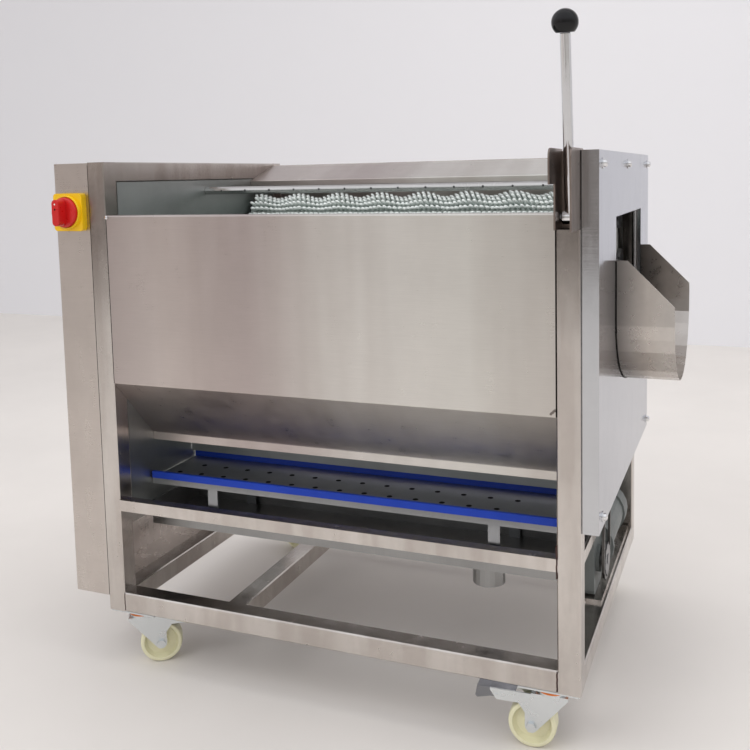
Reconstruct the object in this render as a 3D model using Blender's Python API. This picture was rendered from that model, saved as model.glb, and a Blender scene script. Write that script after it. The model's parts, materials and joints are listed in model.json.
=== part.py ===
# Roller vegetable washer: brush rollers in a welded tube frame on casters.
# Metres, +Z up. Sizes below are in the frame's own axes: X along the machine from the
# left post, Y from the front of the posts to the back, Z up from the underside of the
# frame. The finished parts are shifted so that the world origin is the middle of the
# whole machine's footprint, on the floor.

import bmesh
import bpy
from math import acos, atan2, ceil, cos, pi, radians, sin
from mathutils import Matrix, Vector

# Fits
GAP = 0.0003
RUNNING_FIT = 0.0003
SLIDE_FIT = 0.0005

# Frame tubes
TUBE = 0.035
TUBE_WALL = 0.0015
TUBE_ROUND = 0.002
SLIM_TUBE = 0.020
FRAME_LENGTH = 0.855
FRAME_DEPTH = 0.640
RIGHT_POST = FRAME_LENGTH - TUBE
REAR_POST = FRAME_DEPTH - TUBE
FRONT_BEAM_TOP = 0.208
SIDE_BEAM_TOP = 0.175
CROSS_RAIL_START = 0.232
MOUNT_THICKNESS = 0.005
MOUNT_TOP = TUBE + MOUNT_THICKNESS
MOUNT_INSET = 0.007
MOUNT_OVERHANG = 0.045
MOUNT_LEAD = 0.010
MOUNT_REAR_GAP = 0.040

# Sheet metal
SHEET = 0.0015
COVER_SHEET = 0.0012
BEND_RADIUS = 0.003
CASING_START = TUBE + GAP
CASING_END = RIGHT_POST - GAP

# Brush rollers on an arc around the trough axis. They nearly touch each other.
TROUGH_SHARE = 0.2906
TROUGH_OFFSET = 0.027
TROUGH_Y = FRAME_DEPTH / 2 + TROUGH_OFFSET
ROLLER_CIRCLE = FRAME_DEPTH * TROUGH_SHARE
ROLLER_COUNT = 8
FIRST_ROLLER_ANGLE = radians(27.5)
ROLLER_STEP = radians(31.2)
DRIVEN_ROLLER = 5
ROLLER_CLEARANCE = 0.0015
SHAFT_RADIUS = 0.010
SHAFT_SIDES = 10
SHAFT_OVERHANG = 0.017
PLATE_HOLE = 0.0125
PLATE_HOLE_SIDES = 8
BRUSH_MARGIN = 0.007
BRUSH_START = TUBE + BRUSH_MARGIN
BRUSH_END = RIGHT_POST - BRUSH_MARGIN
TUFT_CREST = ROLLER_CIRCLE * sin(ROLLER_STEP / 2) - ROLLER_CLEARANCE
CORE_SHARE = 0.6187
TUFT_SINK = 0.0045
CORE_RADIUS = TUFT_CREST * CORE_SHARE
TUFT_ROOT = CORE_RADIUS - TUFT_SINK
TUFT_WAVE = 0.006
TUFT_BASE = 0.0060
TUFT_TIP = 0.0095
TUFT_SIDES = 3
TUFTS_PER_TURN = 5
TUFTS_PER_ROLLER = 38
TUFT_MARGIN = 0.006
TUFT_PHASE = radians(7)

# Heights, stacked up from the side beams
PAN_HEIGHT = 0.042
PAN_BOTTOM = SIDE_BEAM_TOP - PAN_HEIGHT
TRAY_RISE = 0.045
TRAY_FLOOR = SIDE_BEAM_TOP + TRAY_RISE
LIP_RISE = 0.085
LIP_TOP = TRAY_FLOOR + LIP_RISE
FUNNEL_RISE = 0.116
PANEL_FOLD = LIP_TOP + FUNNEL_RISE
FUNNEL_ROOM = 0.0685
TROUGH_Z = LIP_TOP + FUNNEL_ROOM + TUFT_CREST + ROLLER_CIRCLE
TOP_RISE = 0.1975
RIGHT_HEIGHT = TROUGH_Z + TOP_RISE
LEFT_EXTRA = 0.0045
LEFT_HEIGHT = RIGHT_HEIGHT + LEFT_EXTRA
NOTCH_HEIGHT = 0.1115
NOTCH_BOTTOM = RIGHT_HEIGHT - NOTCH_HEIGHT
NOTCH_WALL = 0.004
NOTCH_DEPTH = TUBE - NOTCH_WALL

# Casing
PANEL_DROP = 0.0875
PANEL_TOP = RIGHT_HEIGHT - PANEL_DROP
PANEL_SETBACK = 0.001
HEM_DEPTH = 0.0135
HEM_DROP = 0.0115
LIP_DROP = 0.0145
FRONT_LIP = 0.107
LIP_OPENING = 0.121
REAR_LIP = FRONT_LIP + LIP_OPENING
HOPPER_REACH = 0.106
HOPPER_EDGE = REAR_POST - HOPPER_REACH
HOPPER_SLOPE = 0.0335
HOPPER_EDGE_TOP = RIGHT_HEIGHT - HOPPER_SLOPE
HOPPER_LIP_DROP = 0.012
HOPPER_FLANGE = 0.026

# Bearings, sprockets and chains
STRIP_THICKNESS = 0.012
STRIP_WIDTH = 0.028
SPROCKET_RADIUS = 0.029
SPROCKET_ROOT = 0.024
SPROCKET_TEETH = 11
SPROCKET_THICKNESS = 0.006
ROLLER_PLANE_REACH = 0.019
ROLLER_PLANE = RIGHT_POST + ROLLER_PLANE_REACH
PLANE_SPACING = 0.0095
MOTOR_PLANE = ROLLER_PLANE + PLANE_SPACING
CHAIN_WIDTH = 0.0044
CHAIN_THICKNESS = 0.0057
TENSIONER_DROP = 0.0775
TENSIONER_Z = RIGHT_HEIGHT - TENSIONER_DROP
STUB_RADIUS = 0.006
STUB_SHOULDER = 0.010

# Discharge side
GATE_MARGIN = 0.052
GATE_OPENING = ROLLER_CIRCLE - GATE_MARGIN
GATE_OPENING_RISE = 0.092
GATE_OPENING_TOP = TROUGH_Z + GATE_OPENING_RISE
GATE_LAP = 0.008
GATE_RISE = 0.032
GATE_TOP = TROUGH_Z + GATE_RISE
GATE_SHEET = 0.002
GUIDE_WIDTH = 0.011
GUIDE_LIP = 0.012
GUIDE_DROP = 0.063
GUIDE_BOTTOM = TROUGH_Z - GUIDE_DROP
GUIDE_RISE = 0.067
GUIDE_TOP = TROUGH_Z + GUIDE_RISE
COVER_DEPTH = 0.025
COVER_FACE = FRAME_LENGTH + COVER_DEPTH
COVER_LOWER_REACH = 0.361
COVER_BOTTOM = TROUGH_Z - COVER_LOWER_REACH
COVER_LAP = 0.0005
COVER_TOP = RIGHT_HEIGHT + COVER_LAP
COVER_OPENING_RISE = 0.0955
COVER_OPENING_TOP = TROUGH_Z + COVER_OPENING_RISE
CHUTE_MARGIN = 0.018
CHUTE_HALF_WIDTH = ROLLER_CIRCLE - CHUTE_MARGIN
CHUTE_DEPTH = 0.193
CHUTE_BOTTOM = TROUGH_Z - CHUTE_DEPTH
CHUTE_BEND_DROP = 0.078
CHUTE_BEND = TROUGH_Z - CHUTE_BEND_DROP
CHUTE_RISE = 0.026
CHUTE_TOP = TROUGH_Z + CHUTE_RISE
CHUTE_REACH = 0.090
CHUTE_MITRE = 0.074
SCREW_RADIUS = 0.005
SCREW_HEAD = 0.0025
SCREW_FRONT_INSET = 0.033
SCREW_REAR_INSET = 0.021
SCREW_TOP_INSET = 0.019
SCREW_LOW_INSET = 0.018

# Gate lever
BRACKET_SHEET = 0.0025
BRACKET_RISE = 0.003
BRACKET_TOP = RIGHT_HEIGHT + BRACKET_RISE
BOSS_RADIUS = 0.010
BOSS_SIDE_ROOM = 0.013
BOSS_LENGTH = TUBE - BOSS_SIDE_ROOM
LEVER_X = (RIGHT_POST + FRAME_LENGTH) / 2 + SLIDE_FIT
LEVER_Y = NOTCH_DEPTH - BRACKET_SHEET - BOSS_RADIUS - SLIDE_FIT
LEVER_RISE = 0.017
LEVER_Z = NOTCH_BOTTOM + LEVER_RISE
LEVER_LEAN = radians(7.5)
LEVER_REACH = 0.2705
LEVER_RADIUS = 0.0075
LEVER_SHAFT_RADIUS = 0.005
KNOB_RADIUS = 0.019
KNOB_GRIP = 0.014
KNOB_RINGS = 9
EAR_REACH = 0.060
EAR_HEIGHT = 0.0495
EAR_BOTTOM = BRACKET_TOP - EAR_HEIGHT
EAR_ROUND = 0.012
LOW_CHEEK_REACH = 0.022
ARM_CLEARANCE = 0.0095
ARM_FRONT = TROUGH_Y - GATE_OPENING - GATE_LAP - SLIDE_FIT + GUIDE_LIP + ARM_CLEARANCE
ARM_WIDTH = 0.012
ARM_BACK = ARM_FRONT + ARM_WIDTH
ARM_HEIGHT = 0.012
CRANK_END_ROOM = 0.018
CRANK_RADIUS = ARM_FRONT - CRANK_END_ROOM - LEVER_Y
CRANK_REST = radians(-30)
CRANK_WIDTH = 0.013
CRANK_THICKNESS = 0.004
CRANK_PIN = 0.006
SLOT_PLATE_GAP = 0.002
SLOT_PLATE_X = FRAME_LENGTH + SLOT_PLATE_GAP
SLOT_PLATE = 0.003
CRANK_GAP = 0.0025
CRANK_X = SLOT_PLATE_X + SLOT_PLATE + CRANK_GAP
SLOT_CLEARANCE = 0.0025
SLOT_LEAD = 0.0065
SLOT_FRONT = LEVER_Y + CRANK_RADIUS * cos(CRANK_REST) - SLOT_LEAD
SLOT_END_ROOM = 0.004
SLOT_BACK = ARM_FRONT - SLOT_END_ROOM
SLOT_MARGIN = 0.008
COVER_FRONT = LEVER_Y - CRANK_WIDTH / 2 - COVER_SHEET - GAP

# Left box and its rotary switch
BOX_WIDTH = 0.073
BOX_SETBACK = 0.002
BOX_BOTTOM = 0.025
BOX_TOP = LEFT_HEIGHT - PANEL_SETBACK
SWITCH_X = -0.037
SWITCH_DROP = 0.086
SWITCH_Z = LEFT_HEIGHT - SWITCH_DROP
SWITCH_WIDTH = 0.062
SWITCH_HEIGHT = 0.066
SWITCH_DEPTH = 0.012
SWITCH_ROUND = 0.006
SWITCH_SPINDLE = 0.004
DIAL_RADIUS = 0.026
DIAL_DEPTH = 0.012
GRIP_WIDTH = 0.015
GRIP_LENGTH = 0.050
GRIP_DEPTH = 0.020

# Water
PIPE_RADIUS = 0.008
PIPE_BORE = 0.0066
PIPE_SIDES = 10
PIPE_Y = FRAME_DEPTH / 2
PIPE_DROP = 0.0525
PIPE_Z = RIGHT_HEIGHT - PIPE_DROP
PIPE_BEND = 0.030
PIPE_OUTLET = 0.018
NOZZLE_RADIUS = 0.0018
NOZZLE_PITCH = 0.055
NOZZLE_MARGIN = 0.040
NUT_RADIUS = 0.013
NUT_LENGTH = 0.010
TRAY_LAP = 0.012
TRAY_FRONT = FRONT_LIP - TRAY_LAP
TRAY_BACK = REAR_LIP + TRAY_LAP
TRAY_RIM_RISE = 0.010
TRAY_RIM_TOP = TRAY_FLOOR + TRAY_RIM_RISE
TRAY_RIM_DROP = 0.011
TRAY_RIM_BOTTOM = TRAY_FLOOR - TRAY_RIM_DROP
TRAY_MARGIN = 0.003
PAN_FRONT_ROOM = 0.004
PAN_FRONT = TRAY_FRONT - PAN_FRONT_ROOM
PAN_REAR_ROOM = 0.006
PAN_BACK = TRAY_BACK + PAN_REAR_ROOM
PAN_FLANGE = 0.018
DRAIN_END_ROOM = 0.139
DRAIN_X = RIGHT_POST - DRAIN_END_ROOM
DRAIN_RADIUS = 0.027
DRAIN_EDGE = 0.009
DRAIN_Y = PAN_FRONT + DRAIN_RADIUS + DRAIN_EDGE
DRAIN_WALL = 0.002
DRAIN_LENGTH = 0.033
DRAIN_BOTTOM = PAN_BOTTOM - DRAIN_LENGTH
LEG_WIDTH = 0.020
LEG_THICKNESS = 0.003
LEG_LEFT_ROOM = 0.131
LEG_RIGHT_ROOM = 0.122
LEG_CENTRES = (TUBE + LEG_LEFT_ROOM, RIGHT_POST - LEG_RIGHT_ROOM)
HOLE_PITCH = 0.048
FRONT_ROW_INSET = 0.044
REAR_ROW_INSET = 0.053
HOLE_ROWS = (TRAY_FRONT + FRONT_ROW_INSET, TRAY_BACK - REAR_ROW_INSET)
HOLE_RADIUS = 0.0045
HOLE_MARGIN = 0.030
HOLE_SIDES = 5
TRIM_THICKNESS = 0.0022
TRIM_TOP = 0.0025

# Gear motor, between its mount and the side beam
GEARBOX_REACH = 0.014
GEARBOX_X1 = RIGHT_POST + GEARBOX_REACH
GEARBOX_WIDTH = 0.059
GEARBOX_X0 = GEARBOX_X1 - GEARBOX_WIDTH
GEARBOX_PAN_GAP = 0.004
GEARBOX_Y0 = PAN_BACK + GEARBOX_PAN_GAP
GEARBOX_LENGTH = 0.085
GEARBOX_Y1 = GEARBOX_Y0 + GEARBOX_LENGTH
GEARBOX_TOP_ROOM = 0.005
GEARBOX_TOP = SIDE_BEAM_TOP - SLIM_TUBE - GEARBOX_TOP_ROOM
GEARBOX_ROUND = 0.010
OUTPUT_LEAD = 0.040
OUTPUT_Y = GEARBOX_Y0 + OUTPUT_LEAD
OUTPUT_Z = (MOUNT_TOP + GEARBOX_TOP) / 2
OUTPUT_RADIUS = 0.009
OUTPUT_BOSS = 0.024
OUTPUT_BOSS_LENGTH = 0.006
OUTPUT_DEPTH = 0.020
MOTOR_INSET = 0.027
MOTOR_X = GEARBOX_X0 + MOTOR_INSET
MOTOR_Z = OUTPUT_Z
MOTOR_CLEARANCE = 0.002
MOTOR_FLANGE = (GEARBOX_TOP - MOUNT_TOP) / 2 - MOTOR_CLEARANCE
MOTOR_FLANGE_LENGTH = 0.010
MOTOR_STEP = 0.007
MOTOR_BODY = MOTOR_FLANGE - MOTOR_STEP
COWL_STEP = 0.003
MOTOR_COWL = MOTOR_FLANGE - COWL_STEP
MOTOR_COWL_LENGTH = 0.050
MOTOR_REAR_GAP = 0.0387
TERMINAL_LENGTH = 0.070
TERMINAL_WIDTH = 0.050
TERMINAL_RISE = 0.010

# Casters
CASTER_HEIGHT = 0.106
CASTER_INSET_X = 0.049
CASTER_INSET_Y = 0.034
CASTER_REST = (radians(33), radians(183), radians(-28), radians(207))
PLATE_LENGTH = 0.092
PLATE_WIDTH = 0.064
PLATE_THICKNESS = 0.003
CUP_RADIUS = 0.022
CUP_DEPTH = 0.006
HEAD_RADIUS = 0.024
HEAD_DEPTH = 0.007
KINGPIN_RADIUS = 0.006
KINGPIN_FIT = 0.0004
WHEEL_RADIUS = 0.0375
WHEEL_WIDTH = 0.030
WHEEL_CROWN = 0.003
WHEEL_WEB = 0.009
WHEEL_RIM = 0.007
WHEEL_HUB = 0.012
WHEEL_TRAIL = 0.030
AXLE_RADIUS = 0.004
FORK_SHEET = 0.0025
FORK_CLEARANCE = 0.0020
CROWN_THICKNESS = 0.003
AXLE_EYE = 0.010
FORK_BACK = 0.026
ARM_LENGTH = 0.094
ARM_DROP = 0.014
AXLE_HEAD = 0.008
AXLE_HEAD_DEPTH = 0.005
RIVET_RADIUS = 0.0025
PEDAL_PIVOT = 0.084
PEDAL_PIVOT_DROP = 0.010
PEDAL_TIP = 0.118
PEDAL_TOE = 0.056
PEDAL_TOE_DROP = 0.001
PEDAL_DROP = 0.020

ROUND_SIDES = 20

# The middle of the footprint on the floor becomes the origin.
MACHINE_LEFT = -BOX_WIDTH
MACHINE_RIGHT = COVER_FACE + CHUTE_REACH
MACHINE_FRONT = -EAR_REACH
MACHINE_BACK = FRAME_DEPTH + PIPE_OUTLET
SHIFT = Vector((
    -(MACHINE_LEFT + MACHINE_RIGHT) / 2,
    -(MACHINE_FRONT + MACHINE_BACK) / 2,
    CASTER_HEIGHT,
))

FINISHES = {
    "stainless": ((0.62, 0.60, 0.57), 0.32, 1.0),
    "chrome": ((0.75, 0.76, 0.78), 0.12, 1.0),
    "zinc": ((0.66, 0.71, 0.75), 0.38, 1.0),
    "steel": ((0.38, 0.38, 0.39), 0.40, 1.0),
    "bristle": ((0.80, 0.83, 0.80), 0.60, 0.0),
    "nylon": ((0.80, 0.74, 0.50), 0.45, 0.0),
    "white plastic": ((0.82, 0.82, 0.80), 0.50, 0.0),
    "blue rubber": ((0.02, 0.07, 0.50), 0.45, 0.0),
    "black plastic": ((0.010, 0.010, 0.010), 0.15, 0.0),
    "red plastic": ((0.70, 0.02, 0.02), 0.30, 0.0),
    "yellow plastic": ((0.90, 0.62, 0.02), 0.35, 0.0),
    "cast paint": ((0.30, 0.32, 0.33), 0.50, 0.1),
}


# Building blocks

def finish_object(name, mesh, finish, smooth=False):
    """Name the solid's object and give it a material of its own."""
    colour, roughness, metallic = FINISHES[finish]
    material = bpy.data.materials.new(name)
    material.use_nodes = True
    shader = material.node_tree.nodes["Principled BSDF"]
    shader.inputs["Base Color"].default_value = (*colour, 1.0)
    shader.inputs["Roughness"].default_value = roughness
    shader.inputs["Metallic"].default_value = metallic
    mesh.materials.clear()
    mesh.materials.append(material)
    for face in mesh.polygons:
        face.use_smooth = smooth
        face.material_index = 0


def to_object(bm, name="solid"):
    """Turn a bmesh into an object in the scene."""
    bmesh.ops.recalc_face_normals(bm, faces=bm.faces)
    mesh = bpy.data.meshes.new(name)
    bm.to_mesh(mesh)
    bm.free()
    obj = bpy.data.objects.new(name, mesh)
    bpy.context.scene.collection.objects.link(obj)
    return obj


def as_point(axis, along, first, second):
    """Put a point of an outline, drawn across an axis, into X, Y and Z."""
    if axis == "X":
        return (along, first, second)
    if axis == "Y":
        return (first, along, second)
    return (first, second, along)


def extrude(outline, axis, start, end):
    """A solid with this outline, from start to end along the axis."""
    bm = bmesh.new()
    near = [bm.verts.new(as_point(axis, start, *point)) for point in outline]
    far = [bm.verts.new(as_point(axis, end, *point)) for point in outline]
    bm.faces.new(near)
    bm.faces.new(far[::-1])
    count = len(outline)
    for i in range(count):
        j = (i + 1) % count
        bm.faces.new((near[i], far[i], far[j], near[j]))
    return to_object(bm)


def box(x0, x1, y0, y1, z0, z1):
    """A plain block between two corners."""
    return extrude([(y0, z0), (y1, z0), (y1, z1), (y0, z1)], "X", x0, x1)


def arc(centre, radius, start, end, steps):
    """Points of an arc, both ends included."""
    turn = (end - start) / steps
    return [
        (centre[0] + radius * cos(start + turn * i), centre[1] + radius * sin(start + turn * i))
        for i in range(steps + 1)
    ]


def rounded_rectangle(a0, a1, b0, b1, radius, steps=2):
    """Outline of a rectangle with round corners."""
    corners = (
        ((a1 - radius, b0 + radius), -pi / 2),
        ((a1 - radius, b1 - radius), 0.0),
        ((a0 + radius, b1 - radius), pi / 2),
        ((a0 + radius, b0 + radius), pi),
    )
    points = []
    for centre, start in corners:
        points += arc(centre, radius, start, start + pi / 2, steps)
    return points


def tube_bar(axis, a0, a1, b0, b1, start, end):
    """The outside of a square tube with its rounded edges."""
    return extrude(rounded_rectangle(a0, a1, b0, b1, TUBE_ROUND, 1), axis, start, end)


def slim_bar(axis, a0, a1, b0, b1, start, end):
    """The outside of a slim tube, whose edges are too sharp to round."""
    return extrude([(a0, b0), (a1, b0), (a1, b1), (a0, b1)], axis, start, end)


def tube_bore(axis, a0, a1, b0, b1, start, end):
    """The inside of the same square tube. Each direction has its own wall, so that the
    bores of tubes that meet never share a face."""
    wall = TUBE_WALL + GAP * "ZXY".index(axis)
    outline = [
        (a0 + wall, b0 + wall), (a1 - wall, b0 + wall),
        (a1 - wall, b1 - wall), (a0 + wall, b1 - wall),
    ]
    return extrude(outline, axis, start, end)


def lathe(profile, axis, centre, sides=ROUND_SIDES, hollow=False):
    """Turn a profile of (radius, place along the axis) points about an axis."""
    bm = bmesh.new()
    rings = []
    for radius, along in profile:
        if radius == 0:
            rings.append([bm.verts.new(as_point(axis, along, *centre))])
            continue
        ring = []
        for i in range(sides):
            turn = 2 * pi * i / sides
            point = (centre[0] + radius * cos(turn), centre[1] + radius * sin(turn))
            ring.append(bm.verts.new(as_point(axis, along, *point)))
        rings.append(ring)
    pairs = list(zip(rings, rings[1:]))
    if hollow:
        pairs.append((rings[-1], rings[0]))
    for lower, upper in pairs:
        for i in range(sides):
            j = (i + 1) % sides
            corners = [lower[i % len(lower)], lower[j % len(lower)]]
            corners += [upper[j % len(upper)], upper[i % len(upper)]]
            face = list(dict.fromkeys(corners))
            if len(face) > 2:
                bm.faces.new(face)
    return to_object(bm)


def rod(axis, centre, radius, start, end, sides=ROUND_SIDES):
    """A round bar."""
    return lathe([(0, start), (radius, start), (radius, end), (0, end)], axis, centre, sides)


def bore(axis, centre, shaft_radius, fit, start, end, sides=SHAFT_SIDES):
    """A hole whose flat sides stay clear of a turning shaft by the fit."""
    return rod(axis, centre, (shaft_radius + fit) / cos(pi / sides), start, end, sides)


def sweep(path, radius, sides):
    """A round bar along a path of points that lies in a level plane."""
    bm = bmesh.new()
    rings = []
    for i, point in enumerate(path):
        before = Vector(path[max(i - 1, 0)])
        after = Vector(path[min(i + 1, len(path) - 1)])
        forward = (after - before).normalized()
        side = forward.cross(Vector((0, 0, 1)))
        up = side.cross(forward)
        ring = []
        for k in range(sides):
            turn = 2 * pi * k / sides
            offset = side * (radius * cos(turn)) + up * (radius * sin(turn))
            ring.append(bm.verts.new(Vector(point) + offset))
        rings.append(ring)
    bm.faces.new(rings[0])
    bm.faces.new(rings[-1][::-1])
    for lower, upper in zip(rings, rings[1:]):
        for i in range(sides):
            j = (i + 1) % sides
            bm.faces.new((lower[i], lower[j], upper[j], upper[i]))
    return to_object(bm)


def combine(target, tools, operation):
    """Unite the tools with the target or cut them out of it, and remove them."""
    for tool in tools:
        modifier = target.modifiers.new(operation.lower(), "BOOLEAN")
        modifier.operation = operation
        modifier.solver = "EXACT"
        modifier.object = tool
    depsgraph = bpy.context.evaluated_depsgraph_get()
    mesh = bpy.data.meshes.new_from_object(target.evaluated_get(depsgraph))
    target.modifiers.clear()
    target.data = mesh
    for tool in tools:
        bpy.data.objects.remove(tool, do_unlink=True)
    return target


def unite(target, *tools):
    return combine(target, tools, "UNION")


def cut(target, *tools):
    return combine(target, tools, "DIFFERENCE")


def part(obj, name, finish, pivot=(0, 0, 0), smooth_angle=None):
    """Name a finished solid, set its origin on its pivot and move it to the world frame."""
    obj.name = name
    obj.data.name = name
    obj.data.transform(Matrix.Translation(-Vector(pivot)))
    obj.location = Vector(pivot) + SHIFT
    finish_object(name, obj.data, finish, smooth_angle is not None)
    if smooth_angle is not None:
        obj.data.set_sharp_from_angle(angle=smooth_angle)
    return obj


SMOOTH = radians(40)


# Sheet metal

def fillet(path, radius, steps=2):
    """Round the inner corners of an open path of points."""
    points = [path[0]]
    for before, corner, after in zip(path, path[1:], path[2:]):
        incoming = (Vector(before) - Vector(corner)).normalized()
        outgoing = (Vector(after) - Vector(corner)).normalized()
        opening = acos(max(-1.0, min(1.0, incoming.dot(outgoing))))
        reach = radius / (sin(opening / 2) / cos(opening / 2))
        bisector = (incoming + outgoing).normalized()
        centre = Vector(corner) + bisector * (radius / sin(opening / 2))
        first = Vector(corner) + incoming * reach - centre
        last = Vector(corner) + outgoing * reach - centre
        start = atan2(first.y, first.x)
        turn = atan2(last.y, last.x) - start
        if turn > pi:
            turn -= 2 * pi
        if turn < -pi:
            turn += 2 * pi
        points += arc(centre, radius, start, start + turn, steps)
    points.append(path[-1])
    return points


def sheet_outline(path, thickness):
    """Outline of a sheet that follows a path, thickened to the left of its direction."""
    inner = []
    for i, point in enumerate(path):
        here = Vector(point)
        before = (here - Vector(path[i - 1])).normalized() if i else None
        after = (Vector(path[i + 1]) - here).normalized() if i < len(path) - 1 else None
        before = before or after
        after = after or before
        normal = (Vector((-before.y, before.x)) + Vector((-after.y, after.x))).normalized()
        spread = thickness / normal.dot(Vector((-after.y, after.x)))
        inner.append(tuple(here + normal * spread))
    return list(path) + inner[::-1]


def folded_sheet(path, thickness, x0, x1, radius=BEND_RADIUS):
    """A folded sheet with its folds along X. The path is in Y and Z."""
    return extrude(sheet_outline(fillet(path, radius), thickness), "X", x0, x1)


# Frame

def build_frame():
    length, depth = FRAME_LENGTH, FRAME_DEPTH
    mid = TUBE / 2
    posts = [
        ("Z", 0, TUBE, 0, TUBE, 0, LEFT_HEIGHT),
        ("Z", 0, TUBE, REAR_POST, depth, 0, LEFT_HEIGHT),
        ("Z", RIGHT_POST, length, 0, TUBE, 0, RIGHT_HEIGHT),
        ("Z", RIGHT_POST, length, REAR_POST, depth, 0, RIGHT_HEIGHT),
    ]
    rails = [
        ("X", 0, TUBE, 0, TUBE, mid, length - mid),
        ("X", REAR_POST, depth, 0, TUBE, mid, length - mid),
        ("Y", 0, TUBE, 0, TUBE, mid, depth - mid),
        ("Y", RIGHT_POST, length, 0, TUBE, mid, depth - mid),
        ("Y", CROSS_RAIL_START, CROSS_RAIL_START + TUBE, 0, TUBE, mid, depth - mid),
        ("Y", 0, TUBE, LEFT_HEIGHT - TUBE, LEFT_HEIGHT, mid, depth - mid),
        ("Y", RIGHT_POST, length, RIGHT_HEIGHT - TUBE, RIGHT_HEIGHT, mid, depth - mid),
        ("X", REAR_POST, depth, RIGHT_HEIGHT - TUBE, RIGHT_HEIGHT, mid, length - mid),
    ]
    beam_bottom = FRONT_BEAM_TOP - SLIM_TUBE
    side_bottom = SIDE_BEAM_TOP - SLIM_TUBE
    slim = [
        ("X", 0, SLIM_TUBE, beam_bottom, FRONT_BEAM_TOP, mid, length - mid),
        ("X", depth - SLIM_TUBE, depth, beam_bottom, FRONT_BEAM_TOP, mid, length - mid),
        ("Y", TUBE - SLIM_TUBE, TUBE, side_bottom, SIDE_BEAM_TOP, mid, depth - mid),
        ("Y", RIGHT_POST, RIGHT_POST + SLIM_TUBE, side_bottom, SIDE_BEAM_TOP, mid, depth - mid),
    ]
    bars = [tube_bar(*bar) for bar in posts + rails]
    bars += [slim_bar(*bar) for bar in slim]
    bores = []
    for axis, a0, a1, b0, b1, start, end in posts:
        bores.append(tube_bore(axis, a0, a1, b0, b1, start - TUBE_WALL, end - TUBE_WALL))
    bores += [tube_bore(*bar) for bar in rails + slim]
    mount = box(
        RIGHT_POST - MOUNT_OVERHANG, length - MOUNT_INSET,
        GEARBOX_Y0 - MOUNT_LEAD, depth - MOUNT_REAR_GAP,
        TUBE - TUBE_WALL / 2, MOUNT_TOP,
    )
    notch = box(
        RIGHT_POST - TUBE, length + TUBE, -TUBE, NOTCH_DEPTH, NOTCH_BOTTOM, RIGHT_HEIGHT + TUBE,
    )
    frame = unite(bars[0], *bars[1:])
    frame = cut(frame, *bores, notch)
    frame = unite(frame, mount)
    part(frame, "welded_frame", "stainless")


# Casing

def build_casing():
    front = [
        (PANEL_SETBACK + HEM_DEPTH, PANEL_TOP - HEM_DROP),
        (PANEL_SETBACK + HEM_DEPTH, PANEL_TOP),
        (PANEL_SETBACK, PANEL_TOP),
        (PANEL_SETBACK, PANEL_FOLD),
        (FRONT_LIP, LIP_TOP),
        (FRONT_LIP, LIP_TOP - LIP_DROP),
    ]
    sheet = folded_sheet(front, SHEET, CASING_START, CASING_END)
    part(sheet, "front_panel", "stainless", smooth_angle=SMOOTH)

    back = FRAME_DEPTH - PANEL_SETBACK
    rear = [
        (REAR_LIP, LIP_TOP - LIP_DROP),
        (REAR_LIP, LIP_TOP),
        (back, PANEL_FOLD),
        (back, RIGHT_HEIGHT - TUBE - GAP),
    ]
    sheet = folded_sheet(rear, SHEET, CASING_START, CASING_END)
    part(sheet, "rear_panel", "stainless", smooth_angle=SMOOTH)

    flange_y = REAR_POST - GAP
    hopper = [
        (flange_y, RIGHT_HEIGHT - HOPPER_FLANGE),
        (flange_y, RIGHT_HEIGHT - GAP),
        (HOPPER_EDGE, HOPPER_EDGE_TOP),
        (HOPPER_EDGE, HOPPER_EDGE_TOP - HOPPER_LIP_DROP),
    ]
    sheet = folded_sheet(hopper, SHEET, CASING_START, CASING_END)
    part(sheet, "hopper_plate", "stainless", smooth_angle=SMOOTH)


def roller_places():
    """Centres of the rollers in Y and Z, from the rear top one round to the front."""
    places = []
    for i in range(ROLLER_COUNT):
        angle = FIRST_ROLLER_ANGLE - ROLLER_STEP * i
        places.append((TROUGH_Y + ROLLER_CIRCLE * cos(angle), TROUGH_Z + ROLLER_CIRCLE * sin(angle)))
    return places


def u_outline(half_width, bottom, straight_from, top, steps=8):
    """A U with upright sides and an elliptical bottom, around the trough's middle plane."""
    points = [(TROUGH_Y + half_width, top)]
    for i in range(2 * steps + 1):
        turn = pi * i / (2 * steps)
        drop = (straight_from - bottom) * sin(turn)
        points.append((TROUGH_Y + half_width * cos(turn), straight_from - drop))
    points.append((TROUGH_Y - half_width, top))
    return points


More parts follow.
